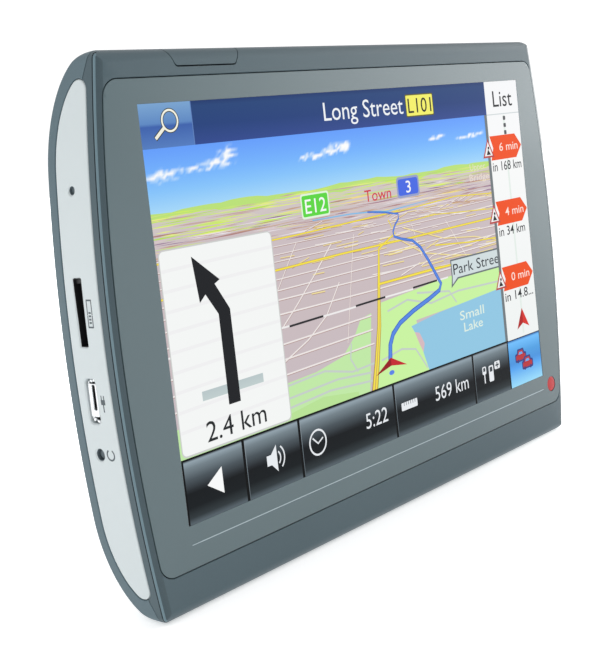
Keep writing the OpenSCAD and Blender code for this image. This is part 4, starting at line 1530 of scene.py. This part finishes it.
def picture_turn_card(material):
    """The pale card with the next turn."""
    art = Drawing("picture_turn_card", 21)
    art.plate(0.35, 20.5, 23.95, 50.35, 1.0, (204, 206, 204))
    art.layer += 1
    art.plate(0.55, 20.7, 23.75, 50.1, 0.8, (243, 245, 244))
    art.layer += 1
    for row in range(9):
        v = 23.2 + 2.9 * row
        art.line([(0.6, v + 0.3), (12, v), (23.7, v - 0.2)], 0.5, (239, 239, 240))
    art.layer += 1
    art.box(5.6, 41.7, 18.6, 43.1, [(0, (184, 198, 200)), (1, (192, 206, 206))])
    art.layer += 1
    ink = (30, 32, 36)
    art.line([(8.9, 26.2), (12.0, 31.0), (12.0, 44.8)], 2.5, ink)
    art.layer += 1
    art.shape([(6.6, 22.1), (11.8, 26.2), (9.5, 27.2), (7.3, 29.0)], ink)
    art.words("2.4 km", 5.6, 18.3, 49.2, 3.0, (36, 40, 42), 0.004)
    return art.finish(material)


def picture_top_bar(material):
    """The dark blue bar with the street's name, and the search button with its lens."""
    art = Drawing("picture_top_bar", 21)
    bar = [(0, (34, 58, 110)), (0.12, (40, 70, 122)), (0.55, (38, 66, 124)), (1, (50, 74, 142))]
    button = [(0, (122, 164, 208)), (0.45, (94, 136, 194)), (0.52, (62, 98, 172)), (1, (84, 124, 190))]
    art.box(0, 0, 88.2, 6.3, bar)
    art.layer += 1
    art.box(0, 0, 10, 6.3, button)
    art.plate(62.2, 1.3, 70.7, 5.3, 0.25, (96, 92, 40))
    art.layer += 1
    art.line([(10.05, 0), (10.05, 6.3)], 0.16, (96, 130, 190))
    art.line([(2.6, 5.0), (4.6, 3.4)], 0.8, (60, 66, 60))
    art.ring((5.7, 2.55), 1.5, 0.56, 0, 360, (60, 66, 60), 28)
    art.plate(62.4, 1.5, 70.5, 5.1, 0.2, (242, 238, 104))
    art.layer += 1
    art.line([(2.65, 4.96), (4.6, 3.4)], 0.5, (240, 238, 222))
    art.ring((5.7, 2.55), 1.5, 0.3, 0, 360, (246, 244, 228), 28)
    art.words("Long Street", 39.6, 61.4, 4.6, 3.0, (238, 242, 246), 0.0)
    art.words("L101", 62.9, 70.0, 4.6, 2.6, (40, 40, 34), 0.01)
    return art.finish(material)


GLOSS_DARK = [
    (0, (60, 68, 74)), (0.03, (146, 162, 172)), (0.12, (116, 130, 138)), (0.3, (74, 84, 91)),
    (0.46, (38, 43, 48)), (0.52, (20, 24, 28)), (0.74, (22, 27, 31)), (0.9, (48, 56, 60)),
    (1, (90, 102, 110)),
]
GLOSS_BLUE = [
    (0, (40, 90, 160)), (0.05, (112, 190, 252)), (0.3, (80, 160, 226)), (0.5, (74, 148, 222)),
    (0.62, (88, 166, 241)), (1, (154, 220, 250)),
]
BUTTONS = [(0.2, 12.4), (12.7, 25.1), (25.4, 50.1), (50.4, 75.1), (75.4, 87.7)]
BAR_TOP = 50.75


def picture_bottom_bar(material):
    """Glossy dark buttons and one blue one."""
    art = Drawing("picture_bottom_bar", 21)
    art.box(0, BAR_TOP - 0.3, 100, 60, (10, 12, 14))
    art.layer += 1
    for left, right in BUTTONS:
        art.box(left + 0.15, BAR_TOP, right - 0.1, 60, GLOSS_DARK)
    art.box(88, BAR_TOP, 99.9, 60, GLOSS_BLUE)
    art.layer += 1
    shine = [(0, (150, 162, 170)), (0.5, (110, 122, 130)), (1, (96, 106, 112))]
    for left, right in BUTTONS[1:]:
        art.box(left + 0.15, BAR_TOP + 0.3, left + 0.28, 60, shine)
    return art.finish(material)


def small_car(art, u, v):
    """A car seen from the front, in red with a dark edge."""
    for grow, colour in ((0.34, (64, 66, 130)), (0, (186, 56, 62))):
        art.plate(u - 1.75 - grow, v - 0.45 - grow, u + 1.75 + grow, v + 0.6 + grow, 0.35, colour)
        roof = v - 1.3 - grow
        wide, narrow = 1.25 + grow, 0.75 + grow
        art.shape([(u - wide, v - 0.3), (u - narrow, roof), (u + narrow, roof), (u + wide, v - 0.3)], colour)
        art.layer += 0.5
    window = [(u - 0.8, v - 0.5), (u - 0.5, v - 1.0), (u + 0.5, v - 1.0), (u + 0.8, v - 0.5)]
    art.shape(window, (110, 170, 232))
    for wheel in (-1.1, 1.1):
        art.disc((u + wheel, v + 0.75), 0.36, 0.36, (70, 60, 120))
    art.layer += 0.5


def picture_button_marks(material):
    """Plain symbols and readings on the lower buttons."""
    art = Drawing("picture_button_marks", 24)
    ink, hollow = (232, 236, 240), (60, 68, 74)
    art.shape([(4.5, 55.3), (7.7, 53.3), (7.7, 57.3)], WHITE)
    art.shape([(17.3, 54.5), (18.3, 54.5), (19.6, 53.2), (19.6, 57.4), (18.3, 56.1), (17.3, 56.1)], ink)
    for radius in (1.2, 2.1):
        art.ring((19.2, 55.3), radius, 0.26, -50, 50, ink, 10)
    art.ring((29.4, 55.4), 2.0, 0.32, 0, 360, ink, 28)
    art.line([(28.2, 54.5), (29.4, 55.6), (30.7, 54.9)], 0.28, ink)
    art.plate(52.1, 54.5, 56.8, 55.9, 0.2, ink)
    art.words("5:22", 42.0, 48.0, 56.5, 2.6, ink, 0.002)
    art.words("569 km", 62.4, 73.2, 56.5, 2.6, ink, 0.002)
    art.plate(78.2, 53.7, 79.5, 55.2, 0.3, ink)
    art.line([(78.85, 55.1), (78.85, 56.9)], 0.35, ink)
    art.plate(80.4, 53.9, 82.0, 57.0, 0.3, ink)
    art.plate(82.5, 53.5, 84.4, 55.0, 0.3, ink)
    art.layer += 1
    for tick in range(6):
        u = 52.9 + 0.64 * tick
        art.line([(u, 54.5), (u, 55.1)], 0.14, (70, 76, 82))
    art.plate(80.75, 54.2, 81.65, 55.1, 0.1, hollow)
    art.plate(78.5, 53.95, 79.2, 54.65, 0.1, hollow)
    art.line([(83.45, 53.7), (83.45, 54.8)], 0.3, hollow)
    art.line([(82.85, 54.25), (84.05, 54.25)], 0.3, hollow)
    for u, v in ((92.3, 54.5), (94.6, 56.3)):
        small_car(art, u, v)
    return art.finish(material)


# Each delay ahead: its height in the picture, its two readings and the right margin of the second one.
DELAYS = [
    (12.8, "6 min", "in 168 km", 99.2), (25.5, "4 min", "in 34 km", 98.4),
    (38.4, "0 min", "in 14.8...", 99.2),
]


def picture_list(material):
    """The white column with the delays ahead."""
    art = Drawing("picture_list", 21)
    art.box(87.3, 6.3, 88.2, 50.5, (112, 120, 124))
    art.layer += 1
    art.box(88.2, 0, 100, 50.6, [(0, (243, 244, 246)), (0.3, (245, 246, 246)), (1, (238, 242, 241))])
    art.layer += 1
    art.line([(88.2, 6.35), (100, 6.35)], 0.2, (206, 214, 216))
    art.line([(94.2, 6.6), (94.2, 50)], 0.6, (226, 236, 230))
    art.layer += 1
    for v in (7.2, 8.6, 10.0):
        art.plate(93.9, v - 0.4, 94.8, v + 0.4, 0.2, (84, 86, 90))
    levels = [delay[0] for delay in DELAYS]
    for v in levels:
        top, low = v - 2.35, v + 2.35
        flag = [(88.4, top), (97.6, top), (99.8, v), (97.6, low), (88.4, low), (89.4, v)]
        art.shape(flag, (238, 78, 18))
    art.shape([(94.3, 45), (96.6, 49), (94.3, 48), (92.0, 49)], (214, 48, 40))
    art.layer += 1
    art.shape([(94.3, 45), (94.3, 48), (92.0, 49)], (176, 28, 30))
    for v in levels:
        art.shape([(87.6, v - 2.0), (89.6, v + 1.7), (85.6, v + 1.7)], (184, 72, 70))
    art.layer += 1
    for v in levels:
        art.shape([(87.6, v - 1.35), (89.0, v + 1.35), (86.2, v + 1.35)], (242, 242, 242))
    art.layer += 1
    for v in levels:
        art.disc((87.7, v - 0.15), 0.3, 0.3, (40, 40, 44), 10)
        art.shape([(86.9, v + 1.15), (87.5, v + 0.1), (88.4, v + 1.15)], (40, 40, 44))
    art.words("List", 90.8, 97.8, 4.9, 3.1, (44, 46, 50), 0.008)
    for v, delay, ahead, margin in DELAYS:
        art.words(delay, 91.6, 98.4, v + 0.7, 1.6, (252, 226, 214), 0.01)
        art.words(ahead, 88.7, margin, v + 4.5, 1.8, (46, 48, 52), 0.012)
    return art.finish(material)


# ---- Camera, light and floor ----

CAMERA_PLACE = (-0.21286, -0.17342, 0.03231)
CAMERA_TURN = (84.3612, 6.3016, -49.1534)
CAMERA_LENS = 65.23
CAMERA_SHIFT = -0.1075


def look():
    """The three-quarter view from the left end."""
    data = bpy.data.cameras.new("camera")
    data.sensor_width = 36
    data.lens = CAMERA_LENS
    data.shift_y = CAMERA_SHIFT
    data.clip_start = 0.01
    data.clip_end = 20
    camera = bpy.data.objects.new("camera", data)
    camera.location = CAMERA_PLACE
    camera.rotation_euler = [math.radians(turn) for turn in CAMERA_TURN]
    bpy.context.scene.collection.objects.link(camera)
    bpy.context.scene.camera = camera


BACKDROP_STRENGTH = 1.1
ROOM_STRENGTH = 0.87
QUIET_FRONT = 0.5
LAMP_STRENGTH = 3.2
LAMP_WAY = (0.97, -0.24, 0.02)
LAMP_SPREAD = 0.76
FLOOR_GAP = 0.05


def studio_light(world):
    """A white room, brightest on the right and quieter in front. The camera sees it evenly white."""
    room = Finish("room", world)
    way = room.node("ShaderNodeTexCoord")["Generated"]
    forward = room.node("ShaderNodeSeparateXYZ", None, {"Vector": way})["Y"]
    facing = (forward * -1).at_least(0)
    towards = room.node("ShaderNodeVectorMath", {"operation": "DOT_PRODUCT"}, {0: way, 1: LAMP_WAY})["Value"]
    settings = {"interpolation_type": "SMOOTHSTEP"}
    values = {"Value": towards, "From Min": LAMP_SPREAD, "From Max": 1.0, "To Max": LAMP_STRENGTH}
    lamp = room.node("ShaderNodeMapRange", settings, values)["Result"]
    strength = ROOM_STRENGTH - facing * facing * QUIET_FRONT + lamp
    seen = room.node("ShaderNodeLightPath")["Is Camera Ray"]
    room.tree.nodes["Background"].inputs["Color"].default_value = (1, 1, 1, 1)
    strength = (seen * BACKDROP_STRENGTH).at_least(strength)
    room.feed(room.tree.nodes["Background"].inputs["Strength"], strength)


def studio():
    """A soft white room and a pale floor."""
    world = bpy.data.worlds.new("studio")
    studio_light(world)
    bpy.context.scene.world = world
    bpy.context.scene.view_settings.view_transform = "Standard"
    bm = bmesh.new()
    bmesh.ops.create_grid(bm, x_segments=1, y_segments=1, size=3)
    bmesh.ops.translate(bm, verts=bm.verts, vec=(0, 0, -(TOP_Z + FLOOR_GAP) * MM))
    mesh = bpy.data.meshes.new("floor")
    bm.to_mesh(mesh)
    bm.free()
    mesh.materials.append(studio_floor())
    floor = bpy.data.objects.new("floor", mesh)
    bpy.context.scene.collection.objects.link(floor)
    floor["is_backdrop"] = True


# ---- The parts kept from the frame ----

def dress(material, *names):
    """Gives kept nodes their finish."""
    for name in names:
        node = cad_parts[name]
        node.data.materials.clear()
        node.data.materials.append(material)
        for slot in node.material_slots:
            slot.material = material


def inner_parts():
    """Finishes for everything inside the case, which keeps its CAD shape."""
    dress(foam(), "panel_gasket", "battery_pad", "speaker_gasket")
    dress(display_glass(), "lcd_cell")
    dress(light_guide(), "backlight")
    dress(sheet_steel(), "lcd_frame", "chassis")
    dress(screw_steel(), "chassis_screws", "board_screws")
    dress(brass(), "standoffs")
    dress(circuit_board(), "main_board", "antenna_board")
    dress(tin_plate(), "processor_shield", "radio_shield", "microphone", "power_switch", "reset_switch")
    dress(chip_black(), "processor", "memory_chips", "radio_chip", "power_parts")
    dress(
        connector_plastic(), "display_connector", "touch_connector", "battery_connector", "power_plunger",
        "reset_plunger",
    )
    dress(ribbon_film(), "display_ribbon", "touch_ribbon")
    dress(black_plastic(), "usb_tongue", "speaker_frame", "card_socket")
    dress(gold_contact(), "card_contacts")
    dress(rubber(), "microphone_boot")
    dress(pouch_foil(), "battery_pack")
    dress(wire_jacket("red_wire", tint(176, 34, 34)), "battery_lead")
    dress(wire_jacket("blue_wire", tint(36, 52, 140)), "speaker_lead")
    dress(wire_jacket("black_wire", tint(32, 32, 34)), "antenna_lead")
    dress(cone_paper(), "speaker_cone")
    dress(magnet(), "speaker_magnet")
    dress(speaker_cloth(), "speaker_mesh")
    dress(ceramic(), "gps_antenna")


def outer_parts():
    """Everything that is remade."""
    front_housing(frame_plastic_painted_shading())
    rear_shell(housing_plastic())
    cap = cap_plastic()
    left_cap(cap)
    right_cap(cap)
    touch_panel(panel_gloss())
    corner_dot(red_enamel())
    power_key(bezel_plastic())
    key_stem(black_plastic())
    steel = socket_steel()
    charging_shell(steel)
    charging_face(steel)
    card_slot_liner(black_plastic())
    hole_liners(hole_plastic())
    accent_inlay(bright_strip())
    reset_pin(hole_plastic())
    end_marks(printed_grey())
    rear_screws(black_screw())


def picture():
    """The lit picture, from the back layer to the front one."""
    material = lit_picture()
    for draw in (
        picture_sky, picture_land, picture_strips, picture_fields, picture_roads, picture_main_roads,
        picture_route, picture_signs, picture_sign_text, picture_turn_card, picture_top_bar,
        picture_bottom_bar, picture_button_marks, picture_list,
    ):
        draw(material)


look()
studio()
inner_parts()
outer_parts()
picture()

low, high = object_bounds()
{"cad": [list(CAD_BOX[0]), list(CAD_BOX[1])], "visual": [list(low), list(high)]}
